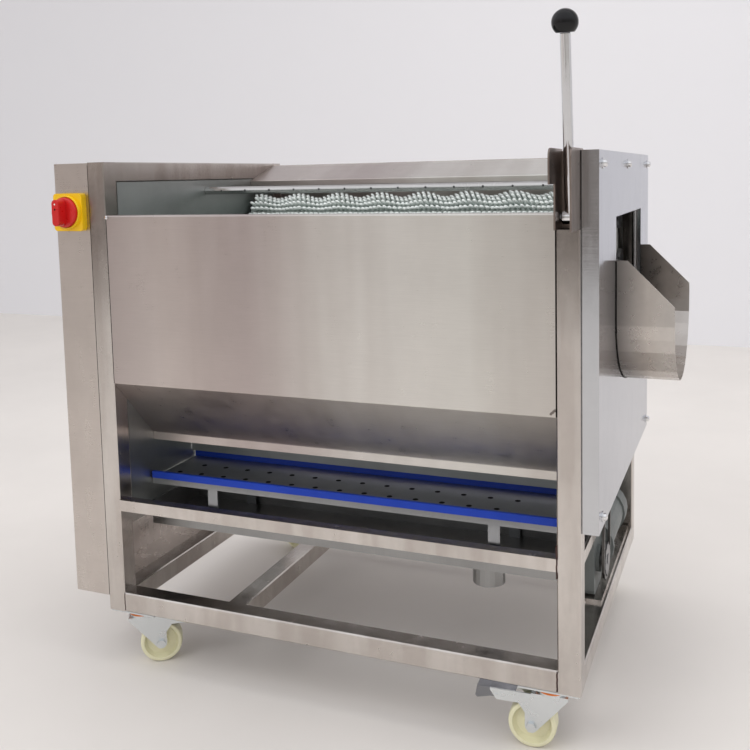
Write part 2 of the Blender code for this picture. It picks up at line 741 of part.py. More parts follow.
def build_end_plates():
    bottom = SIDE_BEAM_TOP + GAP + COVER_SHEET + GAP
    y0, y1 = TUBE + GAP, REAR_POST - GAP

    plate = box(TUBE - SHEET, TUBE, y0, y1, bottom, LEFT_HEIGHT - TUBE - GAP)
    holes = [
        rod("X", place, PLATE_HOLE, TUBE - TUBE_WALL * 2, TUBE + TUBE_WALL, PLATE_HOLE_SIDES)
        for place in roller_places()
    ]
    holes.append(rod(
        "X", (PIPE_Y, PIPE_Z), PIPE_RADIUS + RUNNING_FIT, TUBE - TUBE_WALL * 2,
        TUBE + TUBE_WALL, PIPE_SIDES,
    ))
    part(cut(plate, *holes), "left_end_plate", "stainless")

    face = RIGHT_POST + SHEET
    plate = box(RIGHT_POST, face, y0, y1, bottom, RIGHT_HEIGHT - TUBE - GAP)
    gate_x = face + GAP
    lip_x = gate_x + GATE_SHEET + GAP
    edge = GATE_OPENING + GATE_LAP + SLIDE_FIT
    guides = []
    for side in (-1, 1):
        inner, near, far = (
            TROUGH_Y + side * (edge + reach) for reach in (-GUIDE_LIP, 0, GUIDE_WIDTH)
        )
        angle = [
            (face - SHEET / 2, near), (lip_x, near), (lip_x, inner), (lip_x + GATE_SHEET, inner),
            (lip_x + GATE_SHEET, far), (face - SHEET / 2, far),
        ]
        guides.append(extrude(angle, "Z", GUIDE_BOTTOM, GUIDE_TOP))
    tension_y = roller_places()[-1][0]
    stub_end = ROLLER_PLANE + SPROCKET_THICKNESS / 2 + RUNNING_FIT
    stub_start = ROLLER_PLANE - SPROCKET_THICKNESS / 2 - RUNNING_FIT
    stub = lathe(
        [
            (0, RIGHT_POST + SHEET / 2), (STUB_SHOULDER, RIGHT_POST + SHEET / 2),
            (STUB_SHOULDER, stub_start), (STUB_RADIUS, stub_start), (STUB_RADIUS, stub_end),
            (STUB_SHOULDER, stub_end), (STUB_SHOULDER, stub_end + GATE_SHEET),
            (0, stub_end + GATE_SHEET),
        ],
        "X", (tension_y, TENSIONER_Z), SHAFT_SIDES,
    )
    opening = extrude(
        u_outline(GATE_OPENING, TROUGH_Z - GATE_OPENING, TROUGH_Z, GATE_OPENING_TOP),
        "X", RIGHT_POST - SHEET, face + GAP,
    )
    holes = [
        rod("X", place, PLATE_HOLE, RIGHT_POST - TUBE_WALL, face + TUBE_WALL, PLATE_HOLE_SIDES)
        for place in roller_places()
    ]
    plate = cut(cut(plate, *holes), opening)
    part(unite(plate, stub, *guides), "right_end_plate", "stainless")

    strips = (
        ("left_bearing_strip", TUBE - SHEET - GAP - STRIP_THICKNESS),
        ("right_bearing_strip", face + GAP),
    )
    for name, start in strips:
        part(bearing_strip(start), name, "white plastic")


def bearing_strip(start):
    """A curved plastic strip with a bore for every roller shaft."""
    first = FIRST_ROLLER_ANGLE
    last = FIRST_ROLLER_ANGLE - ROLLER_STEP * (ROLLER_COUNT - 1)
    half = STRIP_WIDTH / 2
    middle = (TROUGH_Y, TROUGH_Z)
    first_end = roller_places()[0]
    last_end = roller_places()[-1]
    steps = (ROLLER_COUNT - 1) * 2
    outline = arc(middle, ROLLER_CIRCLE + half, first, last, steps)
    outline += arc(last_end, half, last, last - pi, 4)[1:-1]
    outline += arc(middle, ROLLER_CIRCLE - half, last, first, steps)
    outline += arc(first_end, half, first + pi, first, 4)[1:-1]
    strip = extrude(outline, "X", start, start + STRIP_THICKNESS)
    bores = [
        bore("X", place, SHAFT_RADIUS, RUNNING_FIT, start - GAP, start + STRIP_THICKNESS + GAP)
        for place in roller_places()
    ]
    return cut(strip, *bores)


# Rollers

def tuft_radius(turn):
    """Outer radius of the brush: a shallow wave that winds once per lead."""
    return TUFT_CREST - TUFT_WAVE * (0.5 - 0.5 * cos(turn))


def build_brush(index, centre):
    core = lathe(
        [
            (SHAFT_RADIUS + RUNNING_FIT, BRUSH_START), (CORE_RADIUS, BRUSH_START),
            (CORE_RADIUS, BRUSH_END), (SHAFT_RADIUS + RUNNING_FIT, BRUSH_END),
        ],
        "X", centre, SHAFT_SIDES, hollow=True,
    )
    bm = bmesh.new()
    span = BRUSH_END - BRUSH_START - 2 * (TUFT_TIP + TUFT_MARGIN)
    spacing = span / (TUFTS_PER_ROLLER - 1)
    for i in range(TUFTS_PER_ROLLER):
        turn = TUFT_PHASE + 2 * pi * i / TUFTS_PER_TURN
        outward = Vector((0, cos(turn), sin(turn)))
        around = Vector((0, -sin(turn), cos(turn)))
        along = Vector((1, 0, 0))
        start = Vector((BRUSH_START + TUFT_TIP + TUFT_MARGIN + spacing * i, *centre))
        rings = []
        reach = tuft_radius(turn * (TUFTS_PER_TURN - 2) / TUFTS_PER_TURN)
        for distance, width in ((TUFT_ROOT, TUFT_BASE), (reach, TUFT_TIP)):
            ring = []
            for k in range(TUFT_SIDES):
                angle = 2 * pi * k / TUFT_SIDES
                offset = along * (width * cos(angle)) + around * (width * sin(angle))
                ring.append(bm.verts.new(start + outward * distance + offset))
            rings.append(ring)
        bm.faces.new(rings[0][::-1])
        bm.faces.new(rings[1])
        for k in range(TUFT_SIDES):
            j = (k + 1) % TUFT_SIDES
            bm.faces.new((rings[0][k], rings[0][j], rings[1][j], rings[1][k]))
    tufts = to_object(bm)
    pivot = (0, *centre)
    part(unite(core, tufts), f"roller_brush_{index}", "bristle", pivot)


def sprocket(plane, centre, stub=0.0):
    """A toothed disc, with a bore if it turns on a stub of this radius."""
    outline = []
    for i in range(SPROCKET_TEETH):
        turn = 2 * pi * i / SPROCKET_TEETH
        half = pi / SPROCKET_TEETH
        for radius, angle in ((SPROCKET_RADIUS, turn), (SPROCKET_ROOT, turn + half)):
            outline.append((centre[0] + radius * cos(angle), centre[1] + radius * sin(angle)))
    start = plane - SPROCKET_THICKNESS / 2
    disc = extrude(outline, "X", start, start + SPROCKET_THICKNESS)
    if stub:
        end = start + SPROCKET_THICKNESS
        disc = cut(disc, bore("X", centre, stub, RUNNING_FIT, start - GAP, end + GAP))
    return disc


def build_rollers():
    for index, centre in enumerate(roller_places(), 1):
        planes = [ROLLER_PLANE]
        if index == DRIVEN_ROLLER:
            planes.append(MOTOR_PLANE)
        end = planes[-1] + SPROCKET_THICKNESS / 2 + SHEET
        shaft = rod("X", centre, SHAFT_RADIUS, TUBE - SHAFT_OVERHANG, end, SHAFT_SIDES)
        shaft = unite(shaft, *[sprocket(plane, centre) for plane in planes])
        part(shaft, f"roller_shaft_{index}", "steel", (0, *centre))
        build_brush(index, centre)


# Chains

def chain_outline(circles, radius, steps_per_turn=14):
    """Outline around circles on a convex ring, in order. Its facets stay outside the circles."""
    points = []
    count = len(circles)
    for i in range(count):
        before = Vector(circles[i - 1])
        here = Vector(circles[i])
        after = Vector(circles[(i + 1) % count])
        incoming = here - before
        outgoing = after - here
        start = atan2(incoming.y, incoming.x) + pi / 2
        end = atan2(outgoing.y, outgoing.x) + pi / 2
        while end > start:
            end -= 2 * pi
        steps = max(1, ceil((start - end) / (2 * pi) * steps_per_turn))
        points += arc(here, radius / cos((start - end) / steps / 2), start, end, steps)
    return points


def chain_loop(circles, plane):
    """A closed chain as a band that lies on the teeth of its sprockets."""
    inner = chain_outline(circles, SPROCKET_RADIUS + GAP)
    outer = chain_outline(circles, SPROCKET_RADIUS + GAP + CHAIN_THICKNESS)
    bm = bmesh.new()
    sides = []
    for x in (plane - CHAIN_WIDTH / 2, plane + CHAIN_WIDTH / 2):
        sides.append((
            [bm.verts.new((x, *point)) for point in inner],
            [bm.verts.new((x, *point)) for point in outer],
        ))
    (near_in, near_out), (far_in, far_out) = sides
    count = len(inner)
    for i in range(count):
        j = (i + 1) % count
        bm.faces.new((near_in[i], near_in[j], near_out[j], near_out[i]))
        bm.faces.new((far_in[i], far_out[i], far_out[j], far_in[j]))
        bm.faces.new((near_in[i], far_in[i], far_in[j], near_in[j]))
        bm.faces.new((near_out[i], near_out[j], far_out[j], far_out[i]))
    return to_object(bm)


def build_drive():
    places = roller_places()
    tensioner = (places[-1][0], TENSIONER_Z)
    # The ring of circles runs clockwise, seen from the chute side.
    ring = places + [tensioner]
    part(chain_loop(ring, ROLLER_PLANE), "roller_chain", "steel")
    wheel = sprocket(ROLLER_PLANE, tensioner, STUB_RADIUS)
    part(wheel, "tension_sprocket", "steel", (0, *tensioner))

    output = (OUTPUT_Y, OUTPUT_Z)
    driven = places[DRIVEN_ROLLER - 1]
    part(chain_loop([driven, output], MOTOR_PLANE), "motor_chain", "steel")

    boss_end = GEARBOX_X1 + OUTPUT_BOSS_LENGTH
    shaft_start = boss_end - OUTPUT_DEPTH
    end = MOTOR_PLANE + SPROCKET_THICKNESS / 2 + SHEET
    spindle = rod("X", output, OUTPUT_RADIUS, shaft_start, end, SHAFT_SIDES)
    spindle = unite(spindle, sprocket(MOTOR_PLANE, output))
    part(spindle, "motor_sprocket", "steel", (0, *output))

    bottom = MOUNT_TOP + GAP
    body = extrude(
        rounded_rectangle(GEARBOX_Y0, GEARBOX_Y1, bottom, GEARBOX_TOP, GEARBOX_ROUND),
        "X", GEARBOX_X0, GEARBOX_X1,
    )
    boss = rod("X", output, OUTPUT_BOSS, GEARBOX_X1 - SHEET, boss_end, ROUND_SIDES)
    neck = rod(
        "Y", (MOTOR_X, MOTOR_Z), MOTOR_BODY - GEARBOX_ROUND,
        GEARBOX_Y1 - GEARBOX_ROUND, GEARBOX_Y1 + OUTPUT_BOSS_LENGTH,
    )
    neck_cap = rod(
        "X", output, OUTPUT_BOSS, GEARBOX_X0 - OUTPUT_BOSS_LENGTH, GEARBOX_X0 + SHEET, ROUND_SIDES,
    )
    socket = bore(
        "X", output, OUTPUT_RADIUS, RUNNING_FIT, shaft_start - RUNNING_FIT,
        boss_end + OUTPUT_BOSS_LENGTH,
    )
    body = cut(unite(body, boss, neck, neck_cap), socket)
    part(body, "gearbox", "cast paint", smooth_angle=SMOOTH)

    start = GEARBOX_Y1 + OUTPUT_BOSS_LENGTH + GAP
    flange_end = start + MOTOR_FLANGE_LENGTH
    cowl_end = REAR_POST - MOTOR_REAR_GAP
    body_end = cowl_end - MOTOR_COWL_LENGTH
    motor = lathe(
        [
            (0, start), (MOTOR_FLANGE, start), (MOTOR_FLANGE, flange_end), (MOTOR_BODY, flange_end),
            (MOTOR_BODY, body_end), (MOTOR_COWL, body_end), (MOTOR_COWL, cowl_end - GEARBOX_ROUND),
            (MOTOR_COWL - GEARBOX_ROUND, cowl_end), (0, cowl_end),
        ],
        "Y", (MOTOR_X, MOTOR_Z),
    )
    terminal = box(
        MOTOR_X - TERMINAL_WIDTH / 2, MOTOR_X + TERMINAL_WIDTH / 2,
        flange_end + MOTOR_FLANGE_LENGTH, flange_end + MOTOR_FLANGE_LENGTH + TERMINAL_LENGTH,
        MOTOR_Z + MOTOR_BODY / 2, MOTOR_Z + MOTOR_BODY + TERMINAL_RISE,
    )
    part(unite(motor, terminal), "motor", "cast paint", smooth_angle=SMOOTH)


# Discharge gate, cover and chute

def slot_outline(y0, y1, z, half_height, steps=6):
    """A level slot with round ends."""
    points = arc((y1 - half_height, z), half_height, -pi / 2, pi / 2, steps)
    points += arc((y0 + half_height, z), half_height, pi / 2, 3 * pi / 2, steps)
    return points


def build_gate():
    half = GATE_OPENING + GATE_LAP
    x0 = RIGHT_POST + SHEET + GAP
    x1 = x0 + GATE_SHEET
    gate = extrude(u_outline(half, TROUGH_Z - half, TROUGH_Z, GATE_TOP), "X", x0, x1)
    pin_z = LEVER_Z + CRANK_RADIUS * sin(CRANK_REST)
    arm = box(
        x1 - GATE_SHEET / 2, SLOT_PLATE_X + SLOT_PLATE / 2, ARM_FRONT, ARM_BACK,
        pin_z - ARM_HEIGHT / 2, pin_z + ARM_HEIGHT / 2,
    )
    half_slot = CRANK_PIN + SLOT_CLEARANCE
    half_plate = half_slot + SLOT_MARGIN
    plate = extrude(
        rounded_rectangle(
            SLOT_FRONT - SLOT_MARGIN, ARM_BACK, pin_z - half_plate, pin_z + half_plate, BEND_RADIUS,
        ),
        "X", SLOT_PLATE_X, SLOT_PLATE_X + SLOT_PLATE,
    )
    slot = extrude(
        slot_outline(SLOT_FRONT, SLOT_BACK, pin_z, half_slot),
        "X", SLOT_PLATE_X - SLOT_PLATE, SLOT_PLATE_X + 2 * SLOT_PLATE,
    )
    gate = unite(gate, arm, plate)
    part(cut(gate, slot), "discharge_gate", "stainless", (x0, TROUGH_Y, TROUGH_Z))


def build_cover():
    x0 = FRAME_LENGTH + GAP
    wall = COVER_SHEET
    cover = box(x0, COVER_FACE, COVER_FRONT, FRAME_DEPTH, COVER_BOTTOM, COVER_TOP)
    inside = box(
        x0 - wall, COVER_FACE - wall, COVER_FRONT + wall, FRAME_DEPTH - wall,
        COVER_BOTTOM - wall, COVER_TOP - wall,
    )
    opening = extrude(
        u_outline(CHUTE_HALF_WIDTH - SHEET, CHUTE_BOTTOM + SHEET, CHUTE_BEND, COVER_OPENING_TOP),
        "X", COVER_FACE - 2 * wall, COVER_FACE + wall,
    )
    cover = cut(cover, inside, opening)
    top_row = COVER_TOP - SCREW_TOP_INSET
    low_row = COVER_BOTTOM + SCREW_LOW_INSET
    front_column = COVER_FRONT + SCREW_FRONT_INSET
    rear_column = FRAME_DEPTH - SCREW_REAR_INSET
    screws = [(front_column, top_row), (FRAME_DEPTH / 2, top_row), (rear_column, top_row)]
    screws += [(front_column, low_row), (rear_column, low_row)]
    heads = []
    for y, z in screws:
        heads.append(lathe(
            [
                (0, COVER_FACE - wall / 2), (SCREW_RADIUS, COVER_FACE - wall / 2),
                (SCREW_RADIUS, COVER_FACE + SCREW_HEAD / 2), (SCREW_RADIUS / 2, COVER_FACE + SCREW_HEAD),
                (0, COVER_FACE + SCREW_HEAD),
            ],
            "X", (y, z), 8,
        ))
    part(unite(cover, *heads), "chain_cover", "stainless")

    outer = u_outline(CHUTE_HALF_WIDTH, CHUTE_BOTTOM, CHUTE_BEND, CHUTE_TOP)
    inner = u_outline(CHUTE_HALF_WIDTH - SHEET, CHUTE_BOTTOM + SHEET, CHUTE_BEND, CHUTE_TOP)
    start, end = COVER_FACE + GAP, COVER_FACE + CHUTE_REACH
    chute = extrude(outer + inner[::-1], "X", start, end)
    mitre = extrude(
        [
            (end - CHUTE_MITRE, CHUTE_TOP + SHEET), (end + SHEET, CHUTE_TOP - CHUTE_MITRE),
            (end + SHEET, CHUTE_TOP + SHEET),
        ],
        "Y", TROUGH_Y - CHUTE_HALF_WIDTH - SHEET, TROUGH_Y + CHUTE_HALF_WIDTH + SHEET,
    )
    part(cut(chute, mitre), "discharge_chute", "stainless", smooth_angle=SMOOTH)


# Lever

def build_lever():
    left = LEVER_X - BOSS_LENGTH / 2 - BRACKET_SHEET - SLOT_CLEARANCE
    left_in = left + BRACKET_SHEET
    right = FRAME_LENGTH - GAP - SLIDE_FIT
    right_in = right - BRACKET_SHEET
    back = NOTCH_DEPTH - GAP
    bottom = NOTCH_BOTTOM + GAP

    def cheek_top():
        points = arc((back - BEND_RADIUS, BRACKET_TOP - BEND_RADIUS), BEND_RADIUS, 0, pi / 2, 2)
        front = (-EAR_REACH + EAR_ROUND, BRACKET_TOP - EAR_ROUND)
        return points + arc(front, EAR_ROUND, pi / 2, pi, 4)

    left_cheek = [(back, bottom)] + cheek_top() + [
        (-EAR_REACH, EAR_BOTTOM), (-LOW_CHEEK_REACH, EAR_BOTTOM), (-LOW_CHEEK_REACH, bottom),
    ]
    right_cheek = [(back, bottom)] + cheek_top() + [(-EAR_REACH, bottom)]
    bracket = extrude(left_cheek, "X", left, left_in)
    bracket = unite(
        bracket,
        extrude(right_cheek, "X", right_in, right),
        box(left + GAP, right - GAP, back - BRACKET_SHEET, back, bottom, BRACKET_TOP - BEND_RADIUS),
    )
    hole = bore("X", (LEVER_Y, LEVER_Z), LEVER_SHAFT_RADIUS, RUNNING_FIT, left - GAP, right + GAP)
    part(cut(bracket, hole), "lever_bracket", "stainless")

    pivot = (LEVER_X, LEVER_Y, LEVER_Z)
    grip_start = LEVER_REACH - KNOB_GRIP
    lever = rod("Z", (LEVER_X, LEVER_Y), LEVER_RADIUS, LEVER_Z, LEVER_Z + grip_start, 16)
    boss = rod(
        "X", (LEVER_Y, LEVER_Z), BOSS_RADIUS,
        LEVER_X - BOSS_LENGTH / 2, LEVER_X + BOSS_LENGTH / 2, 16,
    )
    lever = unite(lever, boss)
    hole = bore(
        "X", (LEVER_Y, LEVER_Z), LEVER_SHAFT_RADIUS, RUNNING_FIT,
        LEVER_X - BOSS_LENGTH, LEVER_X + BOSS_LENGTH,
    )
    lever = lean(cut(lever, hole), pivot)
    part(lever, "lever_rod", "chrome", pivot, SMOOTH)

    profile = [(0, LEVER_Z + grip_start + GAP)]
    for i in range(KNOB_RINGS + 1):
        turn = -pi / 2 + pi * i / KNOB_RINGS
        height = LEVER_Z + LEVER_REACH + KNOB_RADIUS * sin(turn)
        if height > LEVER_Z + grip_start + GAP:
            profile.append((KNOB_RADIUS * cos(turn) if i < KNOB_RINGS else 0, height))
    flat = (KNOB_RADIUS ** 2 - (KNOB_GRIP - GAP) ** 2) ** 0.5
    profile.insert(1, (flat, LEVER_Z + grip_start + GAP))
    knob = lean(lathe(profile, "Z", (LEVER_X, LEVER_Y), 16), pivot)
    part(knob, "lever_knob", "black plastic", pivot, SMOOTH)

    hub = CRANK_WIDTH / 2
    crank_end = CRANK_X + CRANK_THICKNESS
    axis = (LEVER_Y, LEVER_Z)
    shaft = rod("X", axis, LEVER_SHAFT_RADIUS, left + GAP, crank_end, SHAFT_SIDES)
    crank = slot_outline(LEVER_Y - hub, LEVER_Y + CRANK_RADIUS + hub, LEVER_Z, hub)
    arm = extrude(crank, "X", CRANK_X, crank_end)
    pin = rod(
        "X", (LEVER_Y + CRANK_RADIUS, LEVER_Z), CRANK_PIN, SLOT_PLATE_X - SLOT_PLATE,
        CRANK_X + CRANK_THICKNESS / 2, SHAFT_SIDES,
    )
    arm = unite(arm, pin)
    place = Vector((0, *axis))
    turn = Matrix.Translation(place) @ Matrix.Rotation(CRANK_REST, 4, "X") @ Matrix.Translation(-place)
    arm.data.transform(turn)
    part(unite(shaft, arm), "lever_shaft", "steel", pivot)


def lean(obj, pivot):
    """Lean an upright piece of the lever forward about its pivot."""
    place = Vector(pivot)
    turn = Matrix.Rotation(LEVER_LEAN, 4, "X")
    obj.data.transform(Matrix.Translation(place) @ turn @ Matrix.Translation(-place))
    return obj


# Left box with the switch

def build_left_box():
    wall = COVER_SHEET
    y0, y1 = BOX_SETBACK, FRAME_DEPTH - BOX_SETBACK
    shell = box(-BOX_WIDTH, -GAP, y0, y1, BOX_BOTTOM, BOX_TOP)
    inside = box(
        -BOX_WIDTH + wall, wall, y0 + wall, y1 - wall, BOX_BOTTOM + wall, BOX_TOP - wall,
    )
    pipe_hole = rod(
        "Y", (-BOX_WIDTH / 2, PIPE_Z), PIPE_RADIUS + RUNNING_FIT, y1 - 2 * wall, y1 + wall, PIPE_SIDES,
    )
    spindle_hole = bore(
        "Y", (SWITCH_X, SWITCH_Z), SWITCH_SPINDLE, RUNNING_FIT, y0 - wall, y0 + 2 * wall,
    )
    part(cut(shell, inside, pipe_hole, spindle_hole), "left_box", "stainless")

    outline = rounded_rectangle(
        SWITCH_X - SWITCH_WIDTH / 2, SWITCH_X + SWITCH_WIDTH / 2,
        SWITCH_Z - SWITCH_HEIGHT / 2, SWITCH_Z + SWITCH_HEIGHT / 2, SWITCH_ROUND, 3,
    )
    face = BOX_SETBACK - GAP - SWITCH_DEPTH
    plate = extrude(outline, "Y", face, BOX_SETBACK - GAP)
    hole = bore("Y", (SWITCH_X, SWITCH_Z), SWITCH_SPINDLE, RUNNING_FIT, face - GAP, BOX_SETBACK)
    part(cut(plate, hole), "switch_plate", "yellow plastic")

    centre = (SWITCH_X, SWITCH_Z)
    dial_back = face - GAP
    dial_face = dial_back - DIAL_DEPTH
    dial = lathe(
        [
            (0, y0 + 4 * wall), (SWITCH_SPINDLE, y0 + 4 * wall), (SWITCH_SPINDLE, dial_back),
            (DIAL_RADIUS, dial_back), (DIAL_RADIUS, dial_face + SCREW_HEAD),
            (DIAL_RADIUS - SCREW_HEAD, dial_face), (0, dial_face),
        ],
        "Y", centre,
    )
    grip = extrude(
        rounded_rectangle(
            SWITCH_X - GRIP_WIDTH / 2, SWITCH_X + GRIP_WIDTH / 2,
            SWITCH_Z - GRIP_LENGTH / 2, SWITCH_Z + GRIP_LENGTH / 2, SWITCH_ROUND, 3,
        ),
        "Y", dial_face - GRIP_DEPTH, dial_face + SCREW_HEAD,
    )
    part(unite(dial, grip), "switch_knob", "red plastic", (SWITCH_X, 0, SWITCH_Z), SMOOTH)


# Water pieces

def build_spray_pipe():
    corner_x = -BOX_WIDTH / 2
    bend = arc((corner_x + PIPE_BEND, PIPE_Y + PIPE_BEND), PIPE_BEND, -pi / 2, -pi, 5)
    outlet = FRAME_DEPTH + PIPE_OUTLET

    def route(x_end, y_end):
        level = [(x_end, PIPE_Y)] + bend + [(corner_x, y_end)]
        return [(x, y, PIPE_Z) for x, y in level]

    right_end = CASING_END
    pipe = sweep(route(right_end, outlet), PIPE_RADIUS, PIPE_SIDES)
    nut = rod(
        "Y", (corner_x, PIPE_Z), NUT_RADIUS, FRAME_DEPTH + GAP, FRAME_DEPTH + GAP + NUT_LENGTH, 6,
    )
    pipe = unite(pipe, nut)
    inside = sweep(route(right_end - TUBE_WALL, outlet + PIPE_RADIUS), PIPE_BORE, PIPE_SIDES)
    first = CASING_START + NOZZLE_MARGIN
    nozzles = []
    for i in range(1 + int((CASING_END - first) / NOZZLE_PITCH)):
        x = first + NOZZLE_PITCH * i
        nozzles.append(box(
            x - NOZZLE_RADIUS, x + NOZZLE_RADIUS, PIPE_Y - PIPE_RADIUS - PIPE_BORE,
            PIPE_Y - PIPE_BORE / 2, PIPE_Z - NOZZLE_RADIUS, PIPE_Z + NOZZLE_RADIUS,
        ))
    part(cut(pipe, inside, *nozzles), "spray_pipe", "stainless", smooth_angle=SMOOTH)


def build_pan_and_tray():
    wall = COVER_SHEET
    top = SIDE_BEAM_TOP + GAP + wall
    x0, x1 = TUBE + SHEET, RIGHT_POST - SHEET
    pan = box(x0, x1, PAN_FRONT, PAN_BACK, PAN_BOTTOM, top)
    flange = box(
        x0 - PAN_FLANGE, x1 + PAN_FLANGE, PAN_FRONT, PAN_BACK, top - wall, top,
    )
    drain = rod("Z", (DRAIN_X, DRAIN_Y), DRAIN_RADIUS, DRAIN_BOTTOM, PAN_BOTTOM + wall / 2)
    inside = box(
        x0 + wall, x1 - wall, PAN_FRONT + wall, PAN_BACK - wall, PAN_BOTTOM + wall, top + wall,
    )
    passage = rod(
        "Z", (DRAIN_X, DRAIN_Y), DRAIN_RADIUS - DRAIN_WALL, DRAIN_BOTTOM - wall, PAN_BOTTOM + 2 * wall,
    )
    part(cut(unite(pan, flange, drain), inside, passage), "sump_pan", "stainless")

    x0, x1 = TUBE + TRAY_MARGIN, RIGHT_POST - TRAY_MARGIN
    floor = box(
        x0, x1, TRAY_FRONT + wall / 2, TRAY_BACK - wall / 2, TRAY_FLOOR - SHEET, TRAY_FLOOR,
    )
    front_rim = box(x0, x1, TRAY_FRONT, TRAY_FRONT + wall, TRAY_RIM_BOTTOM, TRAY_RIM_TOP)
    rear_rim = box(x0, x1, TRAY_BACK - wall, TRAY_BACK, TRAY_RIM_BOTTOM, TRAY_RIM_TOP)
    legs = []
    for x in LEG_CENTRES:
        for y in (TRAY_FRONT + wall + SHEET, TRAY_BACK - wall - SHEET - LEG_THICKNESS):
            legs.append(box(
                x - LEG_WIDTH / 2, x + LEG_WIDTH / 2, y, y + LEG_THICKNESS,
                PAN_BOTTOM + wall + GAP, TRAY_FLOOR - SHEET / 2,
            ))
    tray = unite(floor, front_rim, rear_rim, *legs)
    holes = []
    per_row = int((x1 - x0 - 2 * HOLE_MARGIN) / HOLE_PITCH)
    for row, y in enumerate(HOLE_ROWS):
        first = x0 + HOLE_MARGIN + (HOLE_PITCH / 2) * (row % 2)
        for i in range(per_row):
            place = (first + HOLE_PITCH * i, y)
            holes.append(rod("Z", place, HOLE_RADIUS, TRAY_FLOOR - 2 * SHEET, TRAY_FLOOR + SHEET, HOLE_SIDES))
    part(cut(tray, *holes), "strainer_tray", "stainless")

    rims = (
        ("front_tray_trim", TRAY_FRONT, TRAY_FRONT + wall),
        ("rear_tray_trim", TRAY_BACK - wall, TRAY_BACK),
    )
    for name, rim_front, rim_back in rims:
        slot_front, slot_back = rim_front - GAP, rim_back + GAP
        y0, y1 = slot_front - TRIM_THICKNESS, slot_back + TRIM_THICKNESS
        bottom = TRAY_FLOOR + GAP
        trim = extrude(
            [
                (y0, bottom), (slot_front, bottom), (slot_front, TRAY_RIM_TOP + GAP),
                (slot_back, TRAY_RIM_TOP + GAP), (slot_back, bottom), (y1, bottom),
                (y1, TRAY_RIM_TOP + TRIM_TOP), (y0, TRAY_RIM_TOP + TRIM_TOP),
            ],
            "X", x0, x1,
        )
        part(trim, name, "blue rubber")


# Casters

